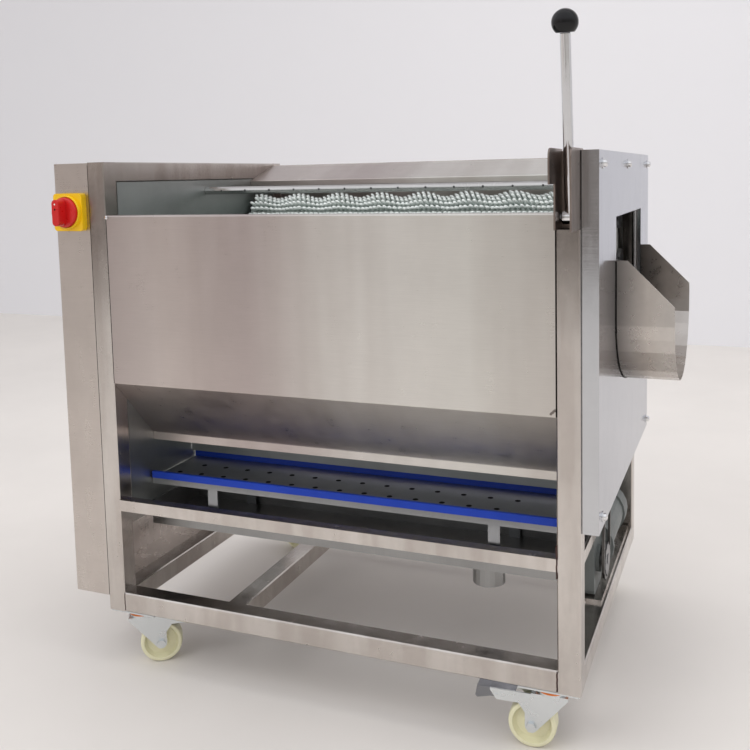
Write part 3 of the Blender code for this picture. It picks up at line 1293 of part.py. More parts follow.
def build_caster(label, kingpin_x, kingpin_y, rest, braked):
    """A swivel caster, drawn trailing towards +X and then turned to its rest angle."""
    place = Vector((kingpin_x, kingpin_y, 0))
    turn = Matrix.Translation(place) @ Matrix.Rotation(rest, 4, "Z")

    def turned(obj):
        obj.data.transform(turn)
        return obj

    plate_top = -GAP
    plate_bottom = plate_top - PLATE_THICKNESS
    cup_bottom = plate_bottom - CUP_DEPTH
    head_top = cup_bottom - GAP
    head_bottom = head_top - HEAD_DEPTH
    crown_bottom = head_bottom - CROWN_THICKNESS
    axle_z = WHEEL_RADIUS - CASTER_HEIGHT

    plate = box(
        kingpin_x - PLATE_LENGTH / 2, kingpin_x + PLATE_LENGTH / 2,
        kingpin_y - PLATE_WIDTH / 2, kingpin_y + PLATE_WIDTH / 2, plate_bottom, plate_top,
    )
    pin_bottom = crown_bottom - BEND_RADIUS
    cup = lathe(
        [
            (0, plate_bottom + PLATE_THICKNESS / 2), (CUP_RADIUS, plate_bottom + PLATE_THICKNESS / 2),
            (CUP_RADIUS, cup_bottom + SHEET), (CUP_RADIUS - SHEET, cup_bottom),
            (KINGPIN_RADIUS, cup_bottom), (KINGPIN_RADIUS, pin_bottom), (0, pin_bottom),
        ],
        "Z", (kingpin_x, kingpin_y), 12,
    )
    part(unite(plate, cup), f"{label}_caster_plate", "zinc", smooth_angle=SMOOTH)

    inner = WHEEL_WIDTH / 2 + FORK_CLEARANCE
    outer = inner + FORK_SHEET
    head = lathe(
        [
            (0, head_top), (CUP_RADIUS, head_top), (HEAD_RADIUS, head_top - SHEET),
            (HEAD_RADIUS, head_bottom), (0, head_bottom),
        ],
        "Z", (0, 0), 16,
    )
    crown = box(
        -FORK_BACK, WHEEL_TRAIL, -outer, outer, crown_bottom, head_bottom + CROWN_THICKNESS / 2,
    )
    axle_place = (WHEEL_TRAIL, axle_z)
    leg = [
        (-FORK_BACK, head_bottom),
        (-FORK_BACK, crown_bottom),
    ]
    leg += arc(axle_place, AXLE_EYE, radians(215), radians(360), 6)
    if braked:
        leg += [
            (WHEEL_TRAIL + AXLE_EYE, crown_bottom - 2 * ARM_DROP),
            (WHEEL_TRAIL + 2 * AXLE_EYE, crown_bottom - ARM_DROP),
            (ARM_LENGTH - AXLE_EYE, crown_bottom - ARM_DROP),
            (ARM_LENGTH, head_bottom - CROWN_THICKNESS),
            (ARM_LENGTH, head_bottom),
        ]
    else:
        leg += [(WHEEL_TRAIL + AXLE_EYE, crown_bottom - ARM_DROP), (WHEEL_TRAIL, head_bottom)]
    legs = [extrude(leg, "Y", -outer, -inner), extrude(leg, "Y", inner, outer)]
    axle = rod("Y", axle_place, AXLE_RADIUS, -outer - AXLE_HEAD_DEPTH, outer + AXLE_HEAD_DEPTH, 8)
    heads = [
        rod("Y", axle_place, AXLE_HEAD, -outer - AXLE_HEAD_DEPTH, -outer + FORK_SHEET / 2, 6),
        rod("Y", axle_place, AXLE_HEAD, outer - FORK_SHEET / 2, outer + AXLE_HEAD_DEPTH, 6),
    ]
    pieces = [crown, *legs, axle, *heads]
    pedal_place = (PEDAL_PIVOT, crown_bottom - PEDAL_PIVOT_DROP + CROWN_THICKNESS)
    if braked:
        pieces.append(rod("Y", pedal_place, RIVET_RADIUS, -outer - SHEET, outer + SHEET, 8))
    fork = unite(head, *pieces)
    pin_hole = rod(
        "Z", (0, 0), KINGPIN_RADIUS + KINGPIN_FIT, crown_bottom - PLATE_THICKNESS,
        head_top + PLATE_THICKNESS, 12,
    )
    fork = turned(cut(fork, pin_hole))
    part(fork, f"{label}_caster_fork", "zinc", place, SMOOTH)

    half = WHEEL_WIDTH / 2
    eye = AXLE_RADIUS + RUNNING_FIT
    rim = WHEEL_RADIUS - WHEEL_RIM
    profile = [
        (eye, -half), (WHEEL_HUB, -half), (WHEEL_HUB, -WHEEL_WEB / 2), (rim, -WHEEL_WEB / 2),
        (rim, -half), (WHEEL_RADIUS - WHEEL_CROWN, -half), (WHEEL_RADIUS, WHEEL_CROWN - half),
        (WHEEL_RADIUS, half - WHEEL_CROWN), (WHEEL_RADIUS - WHEEL_CROWN, half), (rim, half),
        (rim, WHEEL_WEB / 2), (WHEEL_HUB, WHEEL_WEB / 2), (WHEEL_HUB, half), (eye, half),
    ]
    wheel = turned(lathe(profile, "Y", axle_place, 16, hollow=True))
    hub = turn @ Vector((WHEEL_TRAIL, 0, axle_z))
    part(wheel, f"{label}_caster_wheel", "nylon", hub, SMOOTH)

    if braked:
        top = head_bottom - PEDAL_TOE_DROP
        outline = [
            (PEDAL_TOE, crown_bottom - CROWN_THICKNESS),
            (PEDAL_TOE, crown_bottom - CROWN_THICKNESS - PEDAL_TOE_DROP),
            (PEDAL_PIVOT - AXLE_EYE, pedal_place[1] - 2 * RIVET_RADIUS),
            (PEDAL_PIVOT + AXLE_EYE, pedal_place[1] - 2 * RIVET_RADIUS),
            (PEDAL_TIP - BEND_RADIUS, head_bottom - PEDAL_DROP),
            (PEDAL_TIP, head_bottom - PEDAL_DROP + BEND_RADIUS),
            (PEDAL_TIP - BEND_RADIUS, top),
            (ARM_LENGTH, top),
            (PEDAL_PIVOT - AXLE_EYE, pedal_place[1] + 2 * RIVET_RADIUS),
        ]
        width = inner - SLIDE_FIT
        pedal = extrude(outline, "Y", -width, width)
        rivet_hole = rod("Y", pedal_place, RIVET_RADIUS + RUNNING_FIT, -outer, outer, 8)
        pedal = turned(cut(pedal, rivet_hole))
        pivot = turn @ Vector((PEDAL_PIVOT, 0, pedal_place[1]))
        part(pedal, f"{label}_brake_pedal", "chrome", pivot, SMOOTH)


def build_casters():
    left, right = CASTER_INSET_X, FRAME_LENGTH - CASTER_INSET_X
    front, back = CASTER_INSET_Y, FRAME_DEPTH - CASTER_INSET_Y
    corners = (
        ("front_left", left, front, True),
        ("front_right", right, front, True),
        ("rear_left", left, back, False),
        ("rear_right", right, back, False),
    )
    for (label, x, y, braked), rest in zip(corners, CASTER_REST):
        build_caster(label, x, y, rest, braked)


def main():
    for obj in list(bpy.data.objects):
        bpy.data.objects.remove(obj, do_unlink=True)
    build_frame()
    build_casing()
    build_end_plates()
    build_rollers()
    build_drive()
    build_gate()
    build_cover()
    build_lever()
    build_left_box()
    build_spray_pipe()
    build_pan_and_tray()
    build_casters()


main()
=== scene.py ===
# Looks of the roller vegetable washer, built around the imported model.
# Metres, +Z up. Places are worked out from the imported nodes' boxes and joints.

import json
import random
from math import cos, pi, radians, sin

import bmesh
import bpy
from mathutils import Matrix, Vector


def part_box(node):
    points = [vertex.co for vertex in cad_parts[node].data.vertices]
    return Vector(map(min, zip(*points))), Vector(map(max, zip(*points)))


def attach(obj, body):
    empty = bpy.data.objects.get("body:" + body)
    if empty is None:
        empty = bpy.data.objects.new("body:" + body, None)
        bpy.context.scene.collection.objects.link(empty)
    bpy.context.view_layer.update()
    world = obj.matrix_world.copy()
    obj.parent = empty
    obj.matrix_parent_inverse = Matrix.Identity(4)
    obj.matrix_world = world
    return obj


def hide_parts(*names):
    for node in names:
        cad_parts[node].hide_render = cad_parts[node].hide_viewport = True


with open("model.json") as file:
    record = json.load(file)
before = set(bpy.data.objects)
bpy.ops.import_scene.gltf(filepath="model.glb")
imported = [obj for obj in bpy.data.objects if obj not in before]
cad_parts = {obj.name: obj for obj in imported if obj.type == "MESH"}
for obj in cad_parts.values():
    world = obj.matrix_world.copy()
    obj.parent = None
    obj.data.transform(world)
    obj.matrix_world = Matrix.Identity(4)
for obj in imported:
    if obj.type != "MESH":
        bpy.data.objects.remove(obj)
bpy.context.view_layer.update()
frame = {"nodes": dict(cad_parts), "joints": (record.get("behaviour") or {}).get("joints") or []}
MM = 0.001
CORNERS = ("front_left", "front_right", "rear_left", "rear_right")
ROLLERS = range(1, 9)

# Camera, solved from the photograph's edges, in the frame's own axes
CAMERA_PLACE = (1.08297, -1.29347, 0.77519)
CAMERA_YAW = radians(21.92)
CAMERA_PITCH = radians(-5.47)
CAMERA_ROLL = radians(-1.26)
FOCAL_PIXELS = 914.47
PICTURE_SIDE = 750
PICTURE_CENTRE = (387.9, 263.62)
SENSOR = 36.0

# Stage
FLOOR_SIZE = 30.0
FLOOR_FRONT = -7.0
WALL_Y = 3.2
FLOOR_COLOUR = (0.76, 0.72, 0.68)
WALL_COLOUR = (0.81, 0.805, 0.83)
SKY_COLOUR = (0.90, 0.91, 0.94)
PALE_COLOUR = (0.72, 0.71, 0.71)
BEHIND_RANGE = (-0.15, 0.1)
SKY_RANGE = (0.12, 0.5)
ROOM_STRENGTH = 1.1
# (lamp, place, what it faces, size, watts)
LAMPS = (
    ("key", (-1.6, -2.6, 3.2), (0, 0, 0.5), (2.5, 2.0), 34),
    ("top", (0.6, 0.6, 3.4), (0, 0.3, 0.5), (3.0, 2.0), 36),
    ("right", (3.2, 0.2, 2.0), (0.4, 0.2, 0.6), (1.6, 1.6), 9),
)
# The room in front, as the front faces mirror it: (sideways direction, colour). These were set
# against colours read at places in the photograph, so that the reflections fall alike.
FRONT_COLOURS = (
    (-0.85, (0.62, 0.57, 0.54)), (-0.63, (0.42, 0.37, 0.355)), (-0.52, (0.62, 0.565, 0.545)),
    (-0.44, (0.50, 0.45, 0.45)), (-0.36, (0.80, 0.785, 0.76)), (-0.26, (0.76, 0.745, 0.715)),
    (-0.205, (0.25, 0.22, 0.205)), (0.25, (0.46, 0.44, 0.42)),
)

# Brushes
CORE_RADIUS = 30 * MM
TUFT_ROOT = 29 * MM
TUFT_CREST = 48.3 * MM
TUFT_WAVE = 10.5 * MM
WAVE_LEAD = 97.3 * MM
TUFT_PITCH = 10.4 * MM
TUFT_ROWS = 21
TUFT_SIDES = 6
TUFT_WIDTHS = (2.6 * MM, 3.0 * MM, 3.3 * MM, 2.5 * MM)
TUFT_HEIGHTS = (0.0, 0.5, 0.94, 1.0)
TUFT_LEAN = 6.0 * MM
TUFT_SWAY = 1.5 * MM
TUFT_JITTER = 0.7 * MM
TUFT_SEED = 7
ROLLER_TURN = radians(37)
CORE_BORE = 10.3 * MM
CORE_EDGE = 1 * MM
CORE_SIDES = 40

SMOOTH = radians(35)


def joint(name):
    return next(j for j in frame["joints"] if j["name"] == name)


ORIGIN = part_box("welded_frame")[0]


def at(x, y, z):
    """A place in the frame's own axes, in metres, as a world place."""
    return ORIGIN + Vector((x, y, z))


# Mesh helpers

def new_object(name, bm):
    bmesh.ops.recalc_face_normals(bm, faces=bm.faces)
    mesh = bpy.data.meshes.new(name)
    bm.to_mesh(mesh)
    bm.free()
    for face in mesh.polygons:
        face.use_smooth = True
    mesh.set_sharp_from_angle(angle=SMOOTH)
    obj = bpy.data.objects.new(name, mesh)
    bpy.context.scene.collection.objects.link(obj)
    return obj


def basis(axis):
    """Two directions square to an axis."""
    axis = Vector(axis).normalized()
    side = axis.cross(Vector((0, 0, 1)))
    if side.length < 0.1:
        side = axis.cross(Vector((0, 1, 0)))
    side.normalize()
    return axis, side, axis.cross(side)


def circle(bm, centre, side, up, radius, sides):
    points = []
    for i in range(sides):
        turn = 2 * pi * i / sides
        place = centre + side * (radius * cos(turn)) + up * (radius * sin(turn))
        points.append(bm.verts.new(place))
    return points


def add_lathe(bm, profile, place, axis, sides=48, hollow=False):
    """Turn (radius, distance) points about an axis through a place."""
    axis, side, up = basis(axis)
    rings = []
    for radius, along in profile:
        centre = Vector(place) + axis * along
        if radius == 0:
            rings.append([bm.verts.new(centre)])
        else:
            rings.append(circle(bm, centre, side, up, radius, sides))
    pairs = list(zip(rings, rings[1:]))
    if hollow:
        pairs.append((rings[-1], rings[0]))
    for lower, upper in pairs:
        for i in range(sides):
            j = (i + 1) % sides
            corners = [lower[i % len(lower)], lower[j % len(lower)]]
            corners += [upper[j % len(upper)], upper[i % len(upper)]]
            face = list(dict.fromkeys(corners))
            if len(face) > 2:
                bm.faces.new(face)


def lathe(name, profile, place, axis, sides=48, hollow=False):
    bm = bmesh.new()
    add_lathe(bm, profile, place, axis, sides, hollow)
    return new_object(name, bm)


def add_prism(bm, outline, place, first, second, depth):
    """An outline in two directions from a place, pushed along a third by a vector."""
    place, first, second = Vector(place), Vector(first), Vector(second)
    near = [bm.verts.new(place + first * a + second * b) for a, b in outline]
    far = [bm.verts.new(v.co + Vector(depth)) for v in near]
    bm.faces.new(near)
    bm.faces.new(far[::-1])
    count = len(outline)
    for i in range(count):
        j = (i + 1) % count
        bm.faces.new((near[i], far[i], far[j], near[j]))


def arc(centre, radius, start, end, steps):
    turn = (end - start) / steps
    return [
        (centre[0] + radius * cos(start + turn * i), centre[1] + radius * sin(start + turn * i))
        for i in range(steps + 1)
    ]


def rounded(half_a, half_b, radius, steps=5):
    """A rectangle's outline with round corners."""
    points = []
    corners = (
        (half_a - radius, radius - half_b, -pi / 2), (half_a - radius, half_b - radius, 0.0),
        (radius - half_a, half_b - radius, pi / 2), (radius - half_a, radius - half_b, pi),
    )
    for a, b, start in corners:
        points += arc((a, b), radius, start, start + pi / 2, steps)
    return points


def add_tube(bm, path, radius, sides):
    """A round bar along a smooth path, closed at both ends."""
    rings = []
    for i, point in enumerate(path):
        before = Vector(path[max(i - 1, 0)])
        after = Vector(path[min(i + 1, len(path) - 1)])
        _, side, up = basis(after - before)
        rings.append(circle(bm, Vector(point), side, up, radius, sides))
    bm.faces.new(rings[0])
    bm.faces.new(rings[-1][::-1])
    for lower, upper in zip(rings, rings[1:]):
        for i in range(sides):
            j = (i + 1) % sides
            bm.faces.new((lower[i], lower[j], upper[j], upper[i]))


def bevel(obj, width, segments=2):
    modifier = obj.modifiers.new("edge", "BEVEL")
    modifier.width = width
    modifier.segments = segments
    modifier.limit_method = "ANGLE"
    modifier.angle_limit = SMOOTH
    modifier.harden_normals = True


# Materials

def start_material(name, colour, roughness, metallic):
    material = bpy.data.materials.new(name)
    material.use_nodes = True
    shader = material.node_tree.nodes["Principled BSDF"]
    shader.inputs["Base Color"].default_value = (*colour, 1.0)
    shader.inputs["Roughness"].default_value = roughness
    shader.inputs["Metallic"].default_value = metallic
    return material, material.node_tree, shader


def object_noise(tree, stretch, scale, detail=4.0, roughness=0.55):
    """Noise in object space, stretched along the axes."""
    coordinates = tree.nodes.new("ShaderNodeTexCoord")
    mapping = tree.nodes.new("ShaderNodeMapping")
    mapping.inputs["Scale"].default_value = stretch
    noise = tree.nodes.new("ShaderNodeTexNoise")
    noise.inputs["Scale"].default_value = scale
    noise.inputs["Detail"].default_value = detail
    noise.inputs["Roughness"].default_value = roughness
    tree.links.new(coordinates.outputs["Object"], mapping.inputs["Vector"])
    tree.links.new(mapping.outputs["Vector"], noise.inputs["Vector"])
    return noise.outputs["Fac"]


def spread(tree, value, low, high, start=0.3, end=0.7):
    """Map a value from one range to another."""
    node = tree.nodes.new("ShaderNodeMapRange")
    node.inputs["From Min"].default_value = start
    node.inputs["From Max"].default_value = end
    node.inputs["To Min"].default_value = low
    node.inputs["To Max"].default_value = high
    tree.links.new(value, node.inputs["Value"])
    return node.outputs["Result"]


def blend_colours(tree, value, first, second, start=0.35, end=0.65):
    ramp = tree.nodes.new("ShaderNodeValToRGB")
    ramp.color_ramp.elements[0].position = start
    ramp.color_ramp.elements[0].color = (*first, 1.0)
    ramp.color_ramp.elements[1].position = end
    ramp.color_ramp.elements[1].color = (*second, 1.0)
    tree.links.new(value, ramp.inputs["Fac"])
    return ramp.outputs["Color"]


def multiply(tree, first, second):
    node = tree.nodes.new("ShaderNodeMix")
    node.data_type = "RGBA"
    node.blend_type = "MULTIPLY"
    node.inputs[0].default_value = 1.0
    tree.links.new(first, node.inputs[6])
    tree.links.new(second, node.inputs[7])
    return node.outputs[2]


def add_values(tree, first, second):
    node = tree.nodes.new("ShaderNodeMath")
    node.operation = "ADD"
    tree.links.new(first, node.inputs[0])
    tree.links.new(second, node.inputs[1])
    return node.outputs["Value"]


def add_bump(tree, shader, height, strength, distance):
    bump = tree.nodes.new("ShaderNodeBump")
    bump.inputs["Strength"].default_value = strength
    bump.inputs["Distance"].default_value = distance
    tree.links.new(height, bump.inputs["Height"])
    tree.links.new(bump.outputs["Normal"], shader.inputs["Normal"])


def along_axis(tree, source, axis, stops):
    """Colours at places along one axis of a texture coordinate."""
    coordinates = tree.nodes.new("ShaderNodeTexCoord")
    split = tree.nodes.new("ShaderNodeSeparateXYZ")
    tree.links.new(coordinates.outputs[source], split.inputs["Vector"])
    start, end = stops[0][0], stops[-1][0]
    ramp = tree.nodes.new("ShaderNodeValToRGB")
    elements = ramp.color_ramp.elements
    while len(elements) < len(stops):
        elements.new(0.5)
    for element, (place, colour) in zip(elements, stops):
        element.position = (place - start) / (end - start)
        element.color = (*colour, 1.0)
    tree.links.new(spread(tree, split.outputs[axis], 0, 1, start, end), ramp.inputs["Fac"])
    return ramp.outputs["Color"], split


def steel(
    name, colour, roughness, grain=(1, 1, 1), grain_scale=240.0, stain=0.10, bump=0.05,
    axis=None, stops=None, streak=None, edge=(1.0, 1.0, 1.0),
):
    """Satin or polished sheet metal: fine grain, cloudy colour and uneven gloss."""
    material, tree, shader = start_material(name, colour, roughness, 1.0)
    shader.inputs["Specular Tint"].default_value = (*edge, 1.0)
    fine = object_noise(tree, grain, grain_scale, 3.0, 0.6)
    cloud = object_noise(tree, (1, 1, 1), 5.0, 5.0, 0.6)
    smear = object_noise(tree, (3, 3, 1), 14.0, 4.0, 0.65)
    dark = tuple(c * (1 - stain) for c in colour)
    light = tuple(min(1.0, c * (1 + stain * 0.6)) for c in colour)
    base = blend_colours(tree, cloud, dark, light, 0.3, 0.7)
    lines = blend_colours(tree, fine, (0.92, 0.92, 0.92), (1.0, 1.0, 1.0), 0.25, 0.75)
    base = multiply(tree, base, lines)
    # Painted reflections and painted shade along one axis, from the tables of stops below.
    if stops:
        shades, _ = along_axis(tree, "Object", axis, stops)
        base = multiply(tree, base, shades)
    # Darker streaks stretched along one axis; on the tube they are painted reflection streaks.
    if streak:
        bands = object_noise(tree, streak, 1.0, 3.0, 0.55)
        shades = blend_colours(tree, bands, (0.86, 0.84, 0.83), (1.0, 1.0, 1.0), 0.4, 0.6)
        base = multiply(tree, base, shades)
    tree.links.new(base, shader.inputs["Base Color"])
    gloss = add_values(
        tree, spread(tree, smear, roughness - 0.05, roughness + 0.05),
        spread(tree, fine, -0.03, 0.03),
    )
    tree.links.new(gloss, shader.inputs["Roughness"])
    add_bump(tree, shader, fine, bump, 0.0004)
    return material


def plain(
    name, colour, roughness, metallic=0.0, shade=0.85, scale=60.0, bump=0.1, depth=0.0003,
    specular=0.5,
):
    """Plastic, rubber, paint or plating with a slight mottle and uneven gloss."""
    material, tree, shader = start_material(name, colour, roughness, metallic)
    shader.inputs["Specular IOR Level"].default_value = specular
    mottle = object_noise(tree, (1, 1, 1), scale, 4.0, 0.6)
    cloud = object_noise(tree, (1, 1, 1), scale / 8, 3.0, 0.5)
    dark = tuple(c * shade for c in colour)
    base = blend_colours(tree, cloud, dark, colour, 0.35, 0.6)
    gloss = spread(tree, mottle, roughness - 0.05, roughness + 0.07)
    tree.links.new(base, shader.inputs["Base Color"])
    tree.links.new(gloss, shader.inputs["Roughness"])
    add_bump(tree, shader, mottle, bump, depth)
    return material


def bristle_material():
    """Nylon tufts, pale at the tips, with painted shade darker and greener towards the core."""
    material, tree, shader = start_material("bristle_nylon_painted_root_shade", (0.78, 0.82, 0.78), 0.5, 0.0)
    fibres = object_noise(tree, (40, 1, 1), 90.0, 2.0, 0.6)
    attribute = tree.nodes.new("ShaderNodeAttribute")
    attribute.attribute_name = "tip"
    # Painted shade: dark green-grey at the roots, pale nylon at the tips.
    shade = blend_colours(
        tree, attribute.outputs["Fac"], (0.26, 0.33, 0.30), (0.88, 0.91, 0.89), 0.05, 0.80,
    )
    streak = blend_colours(tree, fibres, (0.82, 0.84, 0.82), (1.0, 1.0, 1.0), 0.3, 0.7)
    tree.links.new(multiply(tree, shade, streak), shader.inputs["Base Color"])
    shader.inputs["Subsurface Weight"].default_value = 0.15
    shader.inputs["Subsurface Radius"].default_value = (0.004, 0.004, 0.004)
    add_bump(tree, shader, fibres, 0.35, 0.0006)
    return material


# Painted reflections and painted shade along the machine, in world metres, that multiply a
# metal's colour. Like the room's colours they were set against colours read in the photograph,
# and hold part of its reflections as painted light.
# On the front panel: painted reflections, darkest at the left end and brightest right of the
# middle.
PANEL_PAINTED_REFLECTIONS = (
    (-0.42, (0.66, 0.59, 0.58)), (-0.30, (0.82, 0.75, 0.73)), (-0.14, (0.79, 0.715, 0.715)),
    (0.0, (0.96, 0.94, 0.92)), (0.26, (0.98, 0.97, 0.94)), (0.38, (0.86, 0.83, 0.80)),
)
# On the chute: painted shade and reflection, dark at its root by the cover and bright further out.
CHUTE_PAINTED_SHADE = (
    (0.430, (0.34, 0.33, 0.32)), (0.450, (0.62, 0.59, 0.57)), (0.480, (1.0, 0.96, 0.92)),
    (0.53, (1.0, 0.98, 0.96)),
)
# On the frame's tubes: a painted reflection, a dark band from about 0.7 to 0.9 m up.
TUBE_PAINTED_REFLECTIONS = (
    (0.0, (1.0, 1.0, 1.0)), (0.63, (1.0, 1.0, 1.0)), (0.71, (0.74, 0.73, 0.72)),
    (0.79, (0.55, 0.53, 0.52)), (0.86, (0.62, 0.60, 0.59)), (0.92, (0.86, 0.84, 0.82)),
)
MATERIALS = {
    "panel": steel(
        "panel_satin_painted_reflections", (0.76, 0.75, 0.73), 0.33, (4, 1, 260), 6.0, 0.06, 0.05,
        "X", PANEL_PAINTED_REFLECTIONS, (7, 1, 0.6),
    ),
    "sheet": steel(
        "sheet_satin", (0.70, 0.65, 0.61), 0.30, (1, 4, 260), 6.0, 0.10, streak=(5, 5, 0.6),
    ),
    # Polished tubes with painted reflections: the dark band along Z and dark upright streaks.
    "tube": steel(
        "tube_polished_painted_reflections", (0.66, 0.62, 0.585), 0.22, (1, 1, 1), 90.0, 0.12, 0.08,
        "Z", TUBE_PAINTED_REFLECTIONS, (26, 26, 3),
    ),
    "cover": steel(
        "cover_polished", (0.60, 0.61, 0.63), 0.13, (1, 4, 260), 6.0, 0.05, 0.03,
        edge=(0.86, 0.87, 0.90),
    ),
    "inside": steel("inside_dull", (0.43, 0.45, 0.44), 0.40, (1, 3, 120), 8.0, 0.18),
    # Near-black painted shade, so that the cover's opening reads dark; the real sheets are
    # stainless steel.
    "painted_shade": steel("inside_painted_shade", (0.10, 0.10, 0.10), 0.5, (1, 3, 120), 8.0, 0.2),
    "chute": steel(
        "chute_milled_painted_shade", (0.66, 0.64, 0.62), 0.30, (1, 1, 1), 60.0, 0.12, 0.05,
        "X", CHUTE_PAINTED_SHADE, (9, 9, 2),
    ),
    "pipe": steel("pipe_polished", (0.62, 0.61, 0.60), 0.22, (200, 1, 1), 3.0, 0.06),
    "tray": steel("tray_dull", (0.40, 0.41, 0.425), 0.40, (160, 2, 2), 4.0, 0.12),
    "pan": steel("pan_satin", (0.36, 0.36, 0.355), 0.38, (120, 2, 2), 4.0, 0.12),
    "bracket": steel(
        "bracket_heat_tint", (0.36, 0.30, 0.27), 0.33, (1, 1, 1), 70.0, 0.35, 0.1,
        streak=(60, 60, 20),
    ),
    "dark steel": plain("machined_steel", (0.30, 0.30, 0.31), 0.38, 1.0, 0.7),
    "chain": plain("oiled_chain", (0.14, 0.135, 0.13), 0.35, 1.0, 0.6),
    "chrome": plain("bright_plating", (0.80, 0.80, 0.81), 0.11, 1.0, 0.95, 30.0, 0.02),
    "pedal": plain("dark_plating", (0.24, 0.245, 0.26), 0.17, 1.0, 0.75, 30.0, 0.05),
    "zinc": plain("zinc_plating", (0.74, 0.77, 0.78), 0.30, 1.0, 0.86, 45.0, 0.10),
    "orange": plain("orange_ring", (0.86, 0.21, 0.02), 0.42),
    "nylon": plain("cream_nylon", (0.80, 0.77, 0.53), 0.40, 0.0, 0.90, 70.0, 0.12),
    "strip": plain("white_plastic", (0.78, 0.78, 0.75), 0.5),
    # The brush core: dark green-grey painted shade, as under the tufts.
    "core": plain("brush_core_painted_shade", (0.36, 0.40, 0.38), 0.6),
    "blue": plain("blue_rubber", (0.008, 0.055, 0.50), 0.36, 0.0, 0.85),
    "black": plain(
        "black_gloss", (0.004, 0.004, 0.005), 0.10, 0.0, 0.9, 20.0, 0.01, specular=0.35,
    ),
    "red": plain("red_plastic", (0.62, 0.010, 0.010), 0.30, 0.0, 0.85),
    "yellow": plain("yellow_plastic", (0.90, 0.56, 0.006), 0.34, 0.0, 0.92),
    "white": plain("white_mark", (0.80, 0.80, 0.78), 0.5, 0.0, 0.9),
    # Near-black for dark seams and marks, and for the painted shade in the tray's holes.
    "void": plain("dark_recess", (0.010, 0.009, 0.008), 0.7, 0.0, 0.8, specular=0.1),
    "cast": plain("grey_cast_paint", (0.17, 0.185, 0.18), 0.50, 0.0, 0.80, 120.0, 0.5, 0.0006),
    "weld": plain("weld_metal", (0.30, 0.26, 0.23), 0.45, 1.0, 0.5, 160.0, 0.5),
    "rust": plain("burnt_weld", (0.055, 0.018, 0.014), 0.6, 0.0, 0.5, 200.0, 0.6),
    "bristle": bristle_material(),
}


def dress(obj, finish, body, *replaced):
    """Give a new piece its finish, its body and the nodes that it stands for."""
    obj.data.materials.clear()
    obj.data.materials.append(MATERIALS[finish])
    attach(obj, body)
    if replaced:
        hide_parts(*replaced)
    return obj


NODE_FINISHES = {
    "welded_frame": "tube", "front_panel": "panel", "rear_panel": "panel", "hopper_plate": "panel",
    # The right end plate and the gate take the near-black painted shade.
    "left_end_plate": "inside", "right_end_plate": "painted_shade", "left_box": "sheet",
    "chain_cover": "cover", "discharge_chute": "chute", "discharge_gate": "painted_shade",
    "lever_bracket": "bracket", "spray_pipe": "pipe", "sump_pan": "pan", "strainer_tray": "tray",
    "lever_shaft": "dark steel", "lever_rod": "chrome", "lever_knob": "black",
    "motor_sprocket": "dark steel", "tension_sprocket": "dark steel", "motor_chain": "chain",
    "roller_chain": "chain", "left_bearing_strip": "strip", "right_bearing_strip": "strip",
    "front_tray_trim": "blue", "rear_tray_trim": "blue", "gearbox": "cast", "motor": "cast",
    "switch_plate": "yellow", "switch_knob": "red",
}
for index in ROLLERS:
    NODE_FINISHES[f"roller_shaft_{index}"] = "dark steel"
    NODE_FINISHES[f"roller_brush_{index}"] = "bristle"
for corner in CORNERS:
    NODE_FINISHES[f"{corner}_caster_plate"] = "zinc"
    NODE_FINISHES[f"{corner}_caster_fork"] = "zinc"
    NODE_FINISHES[f"{corner}_caster_wheel"] = "nylon"
for corner in CORNERS[:2]:
    NODE_FINISHES[f"{corner}_brake_pedal"] = "pedal"

for node, finish in NODE_FINISHES.items():
    obj = frame["nodes"][node]
    obj.data.materials.clear()
    obj.data.materials.append(MATERIALS[finish])

# How wide the edges of some solids are softened, in millimetres
EDGES = {
    "lever_bracket": 0.8, "front_tray_trim": 0.9, "rear_tray_trim": 0.9, "chain_cover": 0.5,
    "left_box": 0.6, "gearbox": 2.0, "front_left_brake_pedal": 0.8, "front_right_brake_pedal": 0.8,
}
for node, width in EDGES.items():
    bevel(frame["nodes"][node], width * MM)


# Brushes

